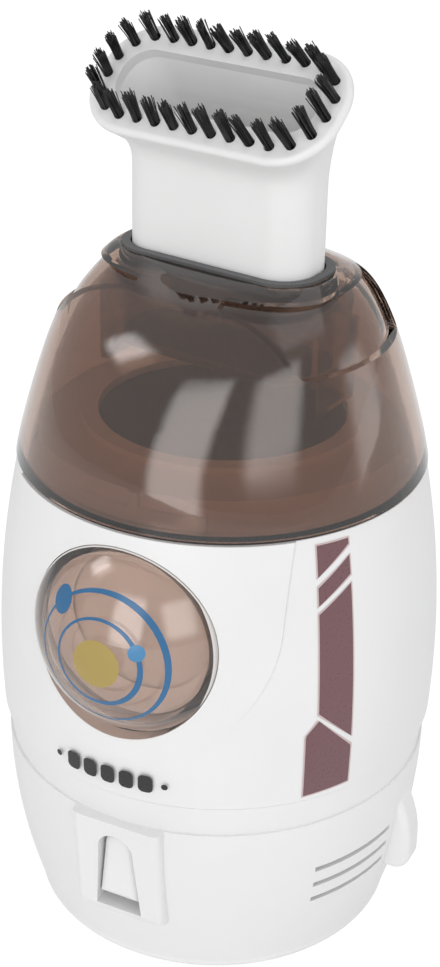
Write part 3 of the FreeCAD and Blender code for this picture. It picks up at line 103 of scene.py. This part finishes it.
class NodeTree:
    """The nodes of a material, a lamp or the world, under construction."""

    def __init__(self, owner):
        owner.use_nodes = True
        self.tree = owner.node_tree
        self.tree.nodes.clear()

    def add(self, kind, **inputs):
        made = self.tree.nodes.new(kind)
        for key, value in inputs.items():
            self.put(made.inputs[key.replace("_", " ")], value)
        return made

    def put(self, socket, value):
        if isinstance(value, bpy.types.NodeSocket):
            self.tree.links.new(value, socket)
        else:
            socket.default_value = value

    def math(self, operation, first, second):
        made = self.add("ShaderNodeMath")
        made.operation = operation
        self.put(made.inputs[0], first)
        self.put(made.inputs[1], second)
        return made.outputs[0]

    def span(self, value, low, high, start=0.0, end=1.0):
        made = self.add("ShaderNodeMapRange")
        self.put(made.inputs["Value"], value)
        self.put(made.inputs["From Min"], start)
        self.put(made.inputs["From Max"], end)
        self.put(made.inputs["To Min"], low)
        self.put(made.inputs["To Max"], high)
        return made.outputs["Result"]

    def seen(self):
        """1 for what the camera sees, straight or through clear plastic, and 0 for the light on things."""
        path = self.add("ShaderNodeLightPath")
        return self.math("MAXIMUM", path.outputs["Is Camera Ray"], path.outputs["Is Transmission Ray"])


class Shader(NodeTree):
    """A material."""

    def __init__(self, name):
        self.material = bpy.data.materials.new(name)
        super().__init__(self.material)
        self.output = self.add("ShaderNodeOutputMaterial")
        self.place = self.add("ShaderNodeTexCoord").outputs["Object"]

    def noise(self, scale, detail=3.0, roughness=0.55, stretch=None):
        place = self.place
        if stretch:
            mapping = self.add("ShaderNodeMapping", Vector=place, Scale=stretch)
            place = mapping.outputs["Vector"]
        made = self.add("ShaderNodeTexNoise", Vector=place, Scale=scale, Detail=detail,
                        Roughness=roughness)
        return made.outputs["Fac"]

    def mix(self, factor, first, second):
        made = self.add("ShaderNodeMix")
        made.data_type = "RGBA"
        self.put(made.inputs[0], factor)
        self.put(made.inputs[6], first)
        self.put(made.inputs[7], second)
        return made.outputs[2]

    def bump(self, height, strength, distance):
        made = self.add("ShaderNodeBump", Strength=strength, Distance=distance, Height=height)
        return made.outputs["Normal"]

    def surface(self, **inputs):
        return self.add("ShaderNodeBsdfPrincipled", **inputs)

    def blend(self, factor, first, second):
        made = self.add("ShaderNodeMixShader")
        self.put(made.inputs[0], factor)
        self.put(made.inputs[1], first.outputs[0])
        self.put(made.inputs[2], second.outputs[0])
        return made

    def finish(self, shader):
        self.put(self.output.inputs["Surface"], shader.outputs[0])
        return self.material


def colour(red, green, blue):
    return (red, green, blue, 1.0)


def moulded(name, base, shade, rough, grain=2600.0, depth=0.012, specular=0.5, coat=0.0):
    """Moulded plastic: a soft change of shade, fine grain in the gloss and the skin."""
    s = Shader(name)
    cloud = s.noise(45.0, 4.0)
    fine = s.noise(grain, 2.0)
    tone = s.mix(s.span(cloud, 0.0, 1.0, 0.3, 0.7), base, shade)
    gloss = s.span(fine, rough * 0.85, rough * 1.2, 0.3, 0.7)
    normal = s.bump(fine, 0.25, depth * MM)
    shader = s.surface(Base_Color=tone, Roughness=gloss, Normal=normal)
    shader.inputs["Specular IOR Level"].default_value = specular
    shader.inputs["Coat Weight"].default_value = coat
    shader.inputs["Coat Roughness"].default_value = 0.08
    return s.finish(shader)


BACK_PALE, BACK_SHADE = colour(0.72, 0.69, 0.67), colour(0.66, 0.63, 0.61)


def smoked(name, tint, rough, scratch=0.0, bend=1.3, coat=0.7, sheath=None):
    """Clear tinted plastic that lets the lamps through, with faint wiping marks in its gloss.
    A sheath (height of an axis along Y, radius, front) is a pale sleeve outside that radius."""
    s = Shader(name)
    wipe = s.noise(900.0, 2.0, stretch=(1.0, 1.0, 0.15))
    gloss = s.span(wipe, rough * 0.7, rough * 1.5, 0.3, 0.7)
    cloud = s.noise(60.0, 3.0)
    tone = s.mix(s.span(cloud, 0.0, 1.0, 0.3, 0.7), tint, colour(*(c * 0.94 for c in tint[:3])))
    normal = s.bump(wipe, scratch, 0.01 * MM)
    shader = s.surface(Base_Color=tone, Roughness=gloss, Normal=normal)
    shader.inputs["Transmission Weight"].default_value = 1.0
    shader.inputs["IOR"].default_value = bend
    shader.inputs["Coat Weight"].default_value = coat
    shader.inputs["Coat IOR"].default_value = 1.75
    shader.inputs["Coat Roughness"].default_value = rough
    clear = s.add("ShaderNodeBsdfTransparent", Color=colour(*(math.sqrt(c) for c in tint[:3])))
    path = s.add("ShaderNodeLightPath")
    mixed = s.blend(path.outputs["Is Shadow Ray"], shader, clear)
    if sheath is None:
        return s.finish(mixed)
    middle, reach, front = sheath
    parts = s.add("ShaderNodeSeparateXYZ", Vector=s.place)
    off_x = s.math("POWER", parts.outputs["X"], 2.0)
    off_z = s.math("POWER", s.math("SUBTRACT", parts.outputs["Z"], middle * MM), 2.0)
    outside = s.math("GREATER_THAN", s.math("ADD", off_x, off_z), (reach * MM) ** 2)
    behind = s.math("GREATER_THAN", parts.outputs["Y"], -front * MM)
    sleeve = s.surface(Base_Color=s.mix(cloud, BACK_PALE, BACK_SHADE), Roughness=0.5)
    return s.finish(s.blend(s.math("MULTIPLY", outside, behind), mixed, sleeve))


def metal(name, base, rough, stretch=(1.0, 1.0, 30.0)):
    s = Shader(name)
    brush = s.noise(700.0, 3.0, stretch=stretch)
    tone = s.mix(s.span(brush, 0.0, 1.0, 0.3, 0.7), base, colour(*(c * 0.82 for c in base[:3])))
    gloss = s.span(brush, rough * 0.7, rough * 1.4, 0.3, 0.7)
    shader = s.surface(Base_Color=tone, Roughness=gloss, Normal=s.bump(brush, 0.2, 0.01 * MM))
    shader.inputs["Metallic"].default_value = 1.0
    return s.finish(shader)


def woven(name, base, shade, pitch):
    """A fine cloth or wire mesh: crossed threads with a little dust on them."""
    s = Shader(name)
    across = s.add("ShaderNodeTexWave", Vector=s.place, Scale=math.pi / (10 * pitch * MM))
    across.bands_direction = "X"
    along = s.add("ShaderNodeTexWave", Vector=s.place, Scale=math.pi / (10 * pitch * MM))
    along.bands_direction = "Y"
    weave = s.math("MULTIPLY", across.outputs["Fac"], along.outputs["Fac"])
    dust = s.noise(260.0, 5.0, 0.7)
    tone = s.mix(weave, shade, base)
    tone = s.mix(s.span(dust, 0.0, 0.35, 0.55, 0.8), tone, colour(0.3, 0.28, 0.26))
    shader = s.surface(Base_Color=tone, Roughness=s.span(dust, 0.75, 0.95),
                       Normal=s.bump(weave, 0.6, 0.05 * MM))
    return s.finish(shader)


def rubbery(name, base, rough):
    s = Shader(name)
    fine = s.noise(1900.0, 3.0)
    cloud = s.noise(80.0, 3.0)
    tone = s.mix(s.span(cloud, 0.0, 1.0, 0.3, 0.7), base, colour(*(c * 1.35 for c in base[:3])))
    shader = s.surface(Base_Color=tone, Roughness=s.span(fine, rough * 0.85, rough * 1.15, 0.3, 0.7),
                       Normal=s.bump(fine, 0.35, 0.02 * MM))
    return s.finish(shader)


def foam(name, base):
    s = Shader(name)
    cells = s.add("ShaderNodeTexVoronoi", Vector=s.place, Scale=1500.0)
    fac = cells.outputs["Distance"]
    # The pits of the cells, which the bump sinks, are painted darker: painted shade in the pores.
    tone = s.mix(s.span(fac, 0.0, 1.0, 0.1, 0.6), colour(*(c * 0.35 for c in base[:3])), base)
    shader = s.surface(Base_Color=tone, Roughness=s.span(fac, 0.85, 1.0), Normal=s.bump(fac, 0.8, 0.2 * MM))
    return s.finish(shader)


def circuit(name):
    s = Shader(name)
    tracks = s.add("ShaderNodeTexBrick", Vector=s.place, Scale=900.0)
    tracks.inputs["Color1"].default_value = colour(0.02, 0.12, 0.05)
    tracks.inputs["Color2"].default_value = colour(0.025, 0.16, 0.07)
    tracks.inputs["Mortar"].default_value = colour(0.05, 0.26, 0.12)
    tracks.inputs["Mortar Size"].default_value = 0.06
    gloss = s.span(s.noise(500.0), 0.25, 0.4)
    shader = s.surface(Base_Color=tracks.outputs["Color"], Roughness=gloss,
                       Normal=s.bump(tracks.outputs["Fac"], 0.3, 0.03 * MM))
    return s.finish(shader)


WHITE = moulded("white_plastic", colour(0.83, 0.83, 0.83), colour(0.80, 0.80, 0.80), 0.34)
NOZZLE_WHITE = moulded("nozzle_plastic", colour(0.82, 0.82, 0.82), colour(0.79, 0.79, 0.79), 0.38)
INNER_WHITE = moulded("inner_plastic", colour(0.74, 0.72, 0.70), colour(0.70, 0.68, 0.66), 0.5)
BACK_WHITE = moulded("back_plastic", BACK_PALE, BACK_SHADE, 0.5)
SMOKE = smoked("smoke_plastic", colour(0.37, 0.24, 0.18), 0.04, 0.1, bend=1.18, coat=1.0)
DUCT_SMOKE = smoked("duct_plastic", colour(0.52, 0.40, 0.35), 0.06, 0.1, bend=1.12)
LENS = smoked("lens_plastic", colour(0.74, 0.62, 0.56), 0.03, 0.08, bend=1.03, coat=1.0,
              sheath=(PORT_Z, SLEEVE_R, SLEEVE_FRONT))
COLLAR = rubbery("collar_rubber", colour(0.075, 0.076, 0.078), 0.42)
DARK = rubbery("dark_rubber", colour(0.03, 0.03, 0.032), 0.6)
FLAP = rubbery("flap_rubber", colour(0.10, 0.075, 0.065), 0.6)
BLACK = moulded("black_plastic", colour(0.03, 0.03, 0.032), colour(0.022, 0.022, 0.024), 0.42)
MESH = woven("filter_cloth", colour(0.13, 0.12, 0.115), colour(0.05, 0.047, 0.045), 0.45)
PAPER = woven("filter_paper", colour(0.55, 0.5, 0.44), colour(0.48, 0.43, 0.38), 0.7)
FOAM = foam("filter_foam", colour(0.14, 0.14, 0.15))
STEEL = metal("steel", colour(0.62, 0.62, 0.63), 0.3)
NICKEL = metal("nickel", colour(0.68, 0.66, 0.62), 0.22)
CAN = metal("motor_steel", colour(0.55, 0.55, 0.57), 0.35)
CELL = moulded("cell_wrap", colour(0.02, 0.09, 0.22), colour(0.025, 0.11, 0.26), 0.25, coat=0.4)
BOARD = circuit("circuit_board")
LEAD = moulded("lead_skin", colour(0.4, 0.02, 0.02), colour(0.34, 0.018, 0.018), 0.35)
BRISTLE = moulded("bristle_nylon", colour(0.012, 0.012, 0.012), colour(0.02, 0.02, 0.02), 0.35)
MAUVE = moulded("stripe_paint", colour(0.175, 0.085, 0.095), colour(0.16, 0.078, 0.088), 0.3, depth=0.006)
PINK = moulded("stripe_edge", colour(0.62, 0.5, 0.5), colour(0.58, 0.47, 0.47), 0.35, depth=0.006)
INK = moulded("mark_ink", colour(0.018, 0.018, 0.02), colour(0.026, 0.026, 0.028), 0.3, depth=0.006)
DEEP_BLUE = moulded("orbit_ink", colour(0.035, 0.15, 0.32), colour(0.03, 0.13, 0.28), 0.2, depth=0.004)
LIGHT_BLUE = moulded("planet_ink", colour(0.07, 0.25, 0.47), colour(0.06, 0.22, 0.43), 0.2, depth=0.004)
OCHRE = moulded("sun_ink", colour(0.42, 0.31, 0.09), colour(0.38, 0.28, 0.08), 0.22, depth=0.004)

NODE_MATERIALS = {
    "base_plate": WHITE,
    "foot_pad": DARK,
    "base_screws": STEEL,
    "bottom_cap": WHITE,
    "main_shell": WHITE,
    "porthole_lens": LENS,
    "porthole_back": BACK_WHITE,
    "deck": INNER_WHITE,
    "seam_gasket": DARK,
    "fan_shroud": BLACK,
    "deck_screws": STEEL,
    "motor_can": CAN,
    "motor_end_cap": BLACK,
    "motor_screws": STEEL,
    "impeller": BLACK,
    "motor_shaft": STEEL,
    "battery_cell": CELL,
    "battery_cradle": BLACK,
    "battery_contacts": NICKEL,
    "main_board": BOARD,
    "charging_port": NICKEL,
    "switch_board": BOARD,
    "slide_switch": NICKEL,
    "power_slider": WHITE,
    "switch_lever": BLACK,
    "dust_cup": SMOKE,
    "mouth_collar": COLLAR,
    "inlet_duct": DUCT_SMOKE,
    "flap_pin": STEEL,
    "inlet_flap": FLAP,
    "filter_carrier": INNER_WHITE,
    "filter_sponge": FOAM,
    "filter_pleats": PAPER,
    "filter_mesh": MESH,
    "brush_nozzle": NOZZLE_WHITE,
    "brush_tufts": BRISTLE,
    "motor_leads": LEAD,
    "charging_leads": LEAD,
}
for name, thing in nodes.items():
    thing.data.materials.clear()
    thing.data.materials.append(NODE_MATERIALS[name])


# Meshes

def mesh_object(name, points, faces, material, smooth=True):
    mesh = bpy.data.meshes.new(name)
    mesh.from_pydata([tuple(p) for p in points], [], faces)
    mesh.materials.append(material)
    mesh.update()
    for polygon in mesh.polygons:
        polygon.use_smooth = smooth
    thing = bpy.data.objects.new(name, mesh)
    bpy.context.scene.collection.objects.link(thing)
    return thing


def grid_faces(rows, columns, closed=False):
    faces = []
    for row in range(rows - 1):
        for column in range(columns if closed else columns - 1):
            after = (column + 1) % columns
            faces.append((row * columns + column, row * columns + after,
                          (row + 1) * columns + after, (row + 1) * columns + column))
    return faces


def along(line, share):
    """A point at a share of the way along a polyline's places."""
    place = share * (len(line) - 1)
    first = min(int(place), len(line) - 2)
    part = place - first
    return tuple(a + (b - a) * part for a, b in zip(line[first], line[first + 1]))


def on_barrel(azimuth, z, lift):
    """A point on the body's skin. azimuth is in degrees from the front towards +X."""
    radius = barrel(z) + lift
    angle = math.radians(azimuth)
    return Vector((radius * math.sin(angle), -radius * math.cos(angle), z)) * MM


def skin_patch(name, left, right, lift, material, columns=14, rows=24):
    """A printed patch between two polylines of (azimuth, height above the seam)."""
    points = []
    for row in range(rows):
        share = row / (rows - 1)
        a, b = along(left, share), along(right, share)
        for column in range(columns):
            part = column / (columns - 1)
            azimuth = a[0] + (b[0] - a[0]) * part
            z = a[1] + (b[1] - a[1]) * part
            points.append(on_barrel(azimuth, SEAM_Z + z, lift))
    thing = mesh_object(name, points, grid_faces(rows, columns), material)
    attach(thing, "body")


# The slanted stripe on the right of the body: outlines of (azimuth, height above the seam)
STRIPES = [
    ([(50.8, -1.3), (50.8, -6.4)], [(60.3, -1.3), (60.3, -2.2)]),
    ([(50.8, -8.1), (50.8, -11.1)], [(60.3, -4.0), (60.3, -7.1)]),
    ([(50.8, -12.5), (50.8, -29.9)], [(60.3, -8.6), (60.3, -35.9)]),
    ([(50.9, -31.2), (47.5, -33.6), (47.6, -45.3)], [(60.3, -37.7), (60.3, -39.0), (60.3, -44.9)]),
]


STRIPE_EDGE, STRIPE_EDGE_LIFT, STRIPE_LIFT = 0.28, 0.05, 0.09


def grown(left, right, by):
    """The same outline pushed out by a margin, in millimetres, on every side."""
    turn = math.degrees(by / BELLY_R)
    low, high = [], []
    for line, side, result in ((left, -1, low), (right, 1, high)):
        for place, (azimuth, z) in enumerate(line):
            lift = by if place == 0 else -by if place == len(line) - 1 else 0.0
            result.append((azimuth + side * turn, z + lift))
    return low, high


for place, (left, right) in enumerate(STRIPES, start=1):
    wide_left, wide_right = grown(left, right, STRIPE_EDGE)
    skin_patch("stripe_edge_%d" % place, wide_left, wide_right, STRIPE_EDGE_LIFT, PINK)
    skin_patch("stripe_%d" % place, left, right, STRIPE_LIFT, MAUVE)


def rounded_patch(name, azimuth, wide, high, corner):
    """A printed rounded mark on the bib, given by its centre and its size in millimetres."""
    steps = 8
    ring = []
    for turn, (sx, sz) in enumerate(((1, 1), (-1, 1), (-1, -1), (1, -1))):
        cx, cz = sx * (wide / 2 - corner), sz * (high / 2 - corner)
        for step in range(steps + 1):
            angle = math.pi / 2 * (turn + step / steps)
            ring.append((cx + corner * math.cos(angle), cz + corner * math.sin(angle)))
    shares = (0.35, 0.7, 1.0)
    points = []
    for share in shares:
        for x, y in ring:
            here = MARK_Z + y * share
            spin = math.degrees(x * share / barrel(here))
            points.append(on_barrel(azimuth + spin, here, MARK_LIFT))
    centre = len(points)
    points.append(on_barrel(azimuth, MARK_Z, MARK_LIFT))
    count = len(ring)
    faces = grid_faces(len(shares), count, closed=True)
    faces += [(centre, (place + 1) % count, place) for place in range(count)]
    thing = mesh_object(name, points, [tuple(reversed(face)) for face in faces], INK)
    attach(thing, "body")


# A plain row of bars between two dots, printed under the porthole: turns in degrees
MARK_DROP = 42.3
MARK_Z = SEAM_Z - MARK_DROP
MARK_LIFT = BIB_RISE + 0.07
DOT_TURNS = {"left": -16.2, "right": 13.4}
DOT_SIZE, DOT_CORNER = 1.1, 0.549
FIRST_BAR, BAR_PITCH, BARS = -11.4, 5.0, 5
BAR_WIDE, BAR_HIGH, BAR_CORNER = 2.5, 3.3, 0.9

for side, turn in DOT_TURNS.items():
    rounded_patch("mark_dot_" + side, turn, DOT_SIZE, DOT_SIZE, DOT_CORNER)
for place in range(BARS):
    turn = FIRST_BAR + place * BAR_PITCH
    rounded_patch("mark_bar_%d" % (place + 1), turn, BAR_WIDE, BAR_HIGH, BAR_CORNER)


# Print on the porthole: radii, rise above the lens's middle, and lifts off its skin, in millimetres

ORBIT_OUTER, ORBIT_INNER, PRINT_RISE = 11.6, 7.3, 1.2
ORBIT_LIFT, SUN_LIFT, PLANET_LIFT = 0.04, 0.05, 0.06
SUN_R, SMALL_R, LARGE_WIDE, LARGE_HIGH = 4.0, 1.4, 2.0, 2.4


def on_lens(x, z, lift):
    """A point on the lens from its arc distances from the middle, to +X and up, in millimetres."""
    arc = math.hypot(x, z)
    reach = arc / LENS_R
    radius = LENS_R + lift
    if arc == 0:
        return Vector((0, LENS_Y - radius, LENS_Z)) * MM
    side = math.sin(reach) * radius
    return Vector((side * x / arc, LENS_Y - math.cos(reach) * radius, LENS_Z + side * z / arc)) * MM


def lens_disc(name, x, z, half_x, half_z, lift, material):
    steps, rings = 48, 6
    points = []
    for ring in range(1, rings + 1):
        for step in range(steps):
            angle = 2 * math.pi * step / steps
            a = half_x * ring / rings * math.cos(angle)
            b = half_z * ring / rings * math.sin(angle)
            points.append(on_lens(x + a, z + b, lift))
    centre = len(points)
    points.append(on_lens(x, z, lift))
    faces = [tuple(reversed(f)) for f in grid_faces(rings, steps, closed=True)]
    faces += [(centre, step, (step + 1) % steps) for step in range(steps)]
    thing = mesh_object(name, points, faces, material)
    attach(thing, "body")


def lens_ring(name, radius, thin, thick, heavy_at):
    """An orbit whose line swells towards one direction, in degrees anticlockwise from +X."""
    steps, across = 160, 4
    points = []
    for step in range(steps):
        angle = 2 * math.pi * step / steps
        swell = (1 + math.cos(angle - math.radians(heavy_at))) / 2
        half = (thin + (thick - thin) * swell ** 1.5) / 2
        for place in range(across):
            here = radius - half + 2 * half * place / (across - 1)
            x, z = here * math.cos(angle), here * math.sin(angle)
            points.append(on_lens(x, PRINT_RISE + z, ORBIT_LIFT))
    faces = []
    for step in range(steps):
        after = (step + 1) % steps
        for place in range(across - 1):
            faces.append((step * across + place, step * across + place + 1,
                          after * across + place + 1, after * across + place))
    thing = mesh_object(name, points, faces, DEEP_BLUE)
    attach(thing, "body")


def orbit_place(radius, degrees):
    angle = math.radians(degrees)
    return radius * math.cos(angle), PRINT_RISE + radius * math.sin(angle)


lens_ring("orbit_outer", ORBIT_OUTER, thin=0.35, thick=1.1, heavy_at=30.0)
lens_ring("orbit_inner", ORBIT_INNER, thin=0.45, thick=0.95, heavy_at=-30.0)
lens_disc("sun_disc", 0.0, PRINT_RISE, SUN_R, SUN_R, SUN_LIFT, OCHRE)
lens_disc("planet_small", *orbit_place(ORBIT_INNER, 26.0), SMALL_R, SMALL_R, PLANET_LIFT, LIGHT_BLUE)
lens_disc("planet_large", *orbit_place(ORBIT_OUTER, 135.0), LARGE_WIDE, LARGE_HIGH, PLANET_LIFT, DEEP_BLUE)


# Pale bowl behind the lens: radius and distance in front of the axis, in millimetres

LINER = [(12.6, 28.5), (13.2, 28.7), (13.7, 29.3), (14.05, 30.2), (14.25, 31.4), (14.35, 33.2)]


def make_liner():
    steps = 96
    points = []
    for radius, front in LINER:
        for step in range(steps):
            angle = 2 * math.pi * step / steps
            x, z = radius * math.cos(angle), radius * math.sin(angle)
            points.append(Vector((x, -front, PORT_Z + z)) * MM)
    thing = mesh_object("porthole_liner", points, grid_faces(len(LINER), steps, closed=True), BACK_WHITE)
    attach(thing, "body")


make_liner()


# Bristles in a tuft. Lengths in millimetres: the ring of their feet, how far a tip strays,
# and their half width at the foot and what it loses towards the tip.

BRISTLES = 44
BRISTLE_RING = 0.72
BRISTLE_STRAY = 0.12
BRISTLE_HALF, BRISTLE_TAPER = 0.13, 0.035
# Shares of the tuft's height: the shortest and the longest bristle, and the most a tuft leans
BRISTLE_SHORT, BRISTLE_LONG = 0.88, 0.96
TUFT_LEAN = 0.05
# The most a bristle splays, as a share of its foot's place, and how late along it the bend comes
BRISTLE_SPLAY, BRISTLE_BEND = 0.6, 1.7
BRISTLE_LEVELS, BRISTLE_SIDES = 4, 3


def loose_parts(mesh):
    """The separate rods of a mesh, as lists of points."""
    parent = list(range(len(mesh.vertices)))

    def top(place):
        while parent[place] != place:
            parent[place] = parent[parent[place]]
            place = parent[place]
        return place

    seen = {}
    for vertex in mesh.vertices:
        key = tuple(round(c * 1e7) for c in vertex.co)
        if key in seen:
            parent[top(vertex.index)] = top(seen[key])
        seen[key] = vertex.index
    for edge in mesh.edges:
        parent[top(edge.vertices[0])] = top(edge.vertices[1])
    groups = {}
    for vertex in mesh.vertices:
        groups.setdefault(top(vertex.index), []).append(vertex.co.copy())
    return list(groups.values())


def rod_line(rod):
    """The foot of a rod, its direction and its length: the ends are its two flat rings of points."""
    centre = sum(rod, Vector()) / len(rod)
    far = max(rod, key=lambda p: (p - centre).length)
    way = (far - centre).normalized()
    for _ in range(3):
        heights = [(p - centre).dot(way) for p in rod]
        top = [p for p, height in zip(rod, heights) if height > 0]
        low = [p for p, height in zip(rod, heights) if height <= 0]
        way = (sum(top, Vector()) / len(top) - sum(low, Vector()) / len(low)).normalized()
    if way.z < 0:
        way.negate()
    heights = [(p - centre).dot(way) for p in rod]
    return centre + way * min(heights), way, max(heights) - min(heights)


def make_bristles():
    points, faces = [], []
    for rod in loose_parts(nodes["brush_tufts"].data):
        foot, way, tall = rod_line(rod)
        side = way.orthogonal().normalized()
        other = way.cross(side)
        lean = side * rng.uniform(-TUFT_LEAN, TUFT_LEAN) + other * rng.uniform(-TUFT_LEAN, TUFT_LEAN)
        for bristle in range(BRISTLES):
            reach = math.sqrt(rng.random()) * BRISTLE_RING * MM
            angle = rng.uniform(0, 2 * math.pi)
            offset = (side * math.cos(angle) + other * math.sin(angle)) * reach
            long = tall * rng.uniform(BRISTLE_SHORT, BRISTLE_LONG)
            splay = offset * rng.uniform(0.0, BRISTLE_SPLAY) + lean * long
            splay += (side * rng.uniform(-1, 1) + other * rng.uniform(-1, 1)) * BRISTLE_STRAY * MM
            start = len(points)
            for level in range(BRISTLE_LEVELS):
                share = level / (BRISTLE_LEVELS - 1)
                spot = foot + offset + way * long * share + splay * share ** BRISTLE_BEND
                half = (BRISTLE_HALF - BRISTLE_TAPER * share) * MM
                for corner in range(BRISTLE_SIDES):
                    turn = 2 * math.pi * corner / BRISTLE_SIDES + angle
                    points.append(spot + (side * math.cos(turn) + other * math.sin(turn)) * half)
            rows = grid_faces(BRISTLE_LEVELS, BRISTLE_SIDES, closed=True)
            faces += [tuple(start + corner for corner in face) for face in rows]
            faces.append(tuple(range(len(points) - BRISTLE_SIDES, len(points))))
    thing = mesh_object("bristles", points, faces, BRISTLE)
    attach(thing, "nozzle")
    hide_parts("brush_tufts")


make_bristles()


# Floor and light: the strengths that the camera sees and the lower ones that fall on the object

FLOOR_SEEN, FLOOR_LIGHT = 0.74, 0.45
FLOOR_PALE, FLOOR_SHADE = colour(0.42, 0.42, 0.42), colour(0.40, 0.40, 0.40)
FLOOR_HALF = 2.5
WORLD_SEEN, WORLD_LIGHT = 1.0, 0.58
WHITE_LIGHT = colour(1, 1, 1)


def make_floor():
    half = FLOOR_HALF
    floor = mesh_object("floor", [(-half, -half, 0), (half, -half, 0), (half, half, 0), (-half, half, 0)],
                        [(0, 1, 2, 3)], None, smooth=False)
    s = Shader("floor_white")
    diffuse = s.add("ShaderNodeBsdfDiffuse", Color=s.mix(s.noise(30.0), FLOOR_SHADE, FLOOR_PALE))
    glow = s.add("ShaderNodeEmission", Color=WHITE_LIGHT, Strength=FLOOR_SEEN)
    light = s.add("ShaderNodeEmission", Color=WHITE_LIGHT, Strength=FLOOR_LIGHT)
    both = s.add("ShaderNodeAddShader")
    s.put(both.inputs[0], diffuse.outputs[0])
    s.put(both.inputs[1], s.blend(s.seen(), light, glow).outputs[0])
    floor.data.materials.clear()
    floor.data.materials.append(s.finish(both))


def make_world():
    world = bpy.data.worlds.new("world")
    bpy.context.scene.world = world
    s = NodeTree(world)
    strength = s.span(s.seen(), WORLD_LIGHT, WORLD_SEEN)
    back = s.add("ShaderNodeBackground", Color=WHITE_LIGHT, Strength=strength)
    s.add("ShaderNodeOutputWorld", Surface=back.outputs[0])


# Lamps that face the object: azimuth from the front towards +X, elevation, width, height, power
# in watts, and the share of each side over which the light fades out
LAMPS = {
    "front": (1, 15, 0.66, 1.3, 5.8, 0.2),
    "right": (54, 22, 0.7, 0.8, 2.8, 0.25),
    "left": (-66, 44, 0.32, 0.4, 1.2, 0.3),
    "above": (159, 73.6, 1.9, 1.0, 2.8, 0.12),
    "side": (118, 4, 0.6, 0.6, 1.2, 0.3),
}
LAMP_TARGET = Vector((0, 0, 0.08))
LAMP_DISTANCE = 1.0


def softbox(name, azimuth, elevation, wide, high, watts, soft):
    a, e = math.radians(azimuth), math.radians(elevation)
    way = Vector((math.sin(a) * math.cos(e), -math.cos(a) * math.cos(e), math.sin(e)))
    lamp = bpy.data.lights.new(name, "AREA")
    lamp.shape = "RECTANGLE"
    lamp.size, lamp.size_y = wide, high
    lamp.energy = watts
    s = NodeTree(lamp)
    parts = s.add("ShaderNodeSeparateXYZ", Vector=s.add("ShaderNodeNewGeometry").outputs["Parametric"])
    fades = []
    for axis in ("X", "Y"):
        away = s.math("ABSOLUTE", s.math("SUBTRACT", parts.outputs[axis], 0.5), 0.0)
        fade = s.span(away, 1.0, 0.0, 0.5 - soft, 0.5)
        fade.node.interpolation_type = "SMOOTHSTEP"
        fades.append(fade)
    glow = s.add("ShaderNodeEmission", Strength=s.math("MULTIPLY", *fades))
    s.add("ShaderNodeOutputLight", Surface=glow.outputs[0])
    thing = bpy.data.objects.new(name, lamp)
    place = Matrix.Translation(LAMP_TARGET + way * LAMP_DISTANCE)
    thing.matrix_world = place @ way.to_track_quat("Z", "Y").to_matrix().to_4x4()
    bpy.context.scene.collection.objects.link(thing)


make_floor()
make_world()
for name, sizes in LAMPS.items():
    softbox(name, *sizes)

bpy.context.scene.view_settings.view_transform = "Standard"
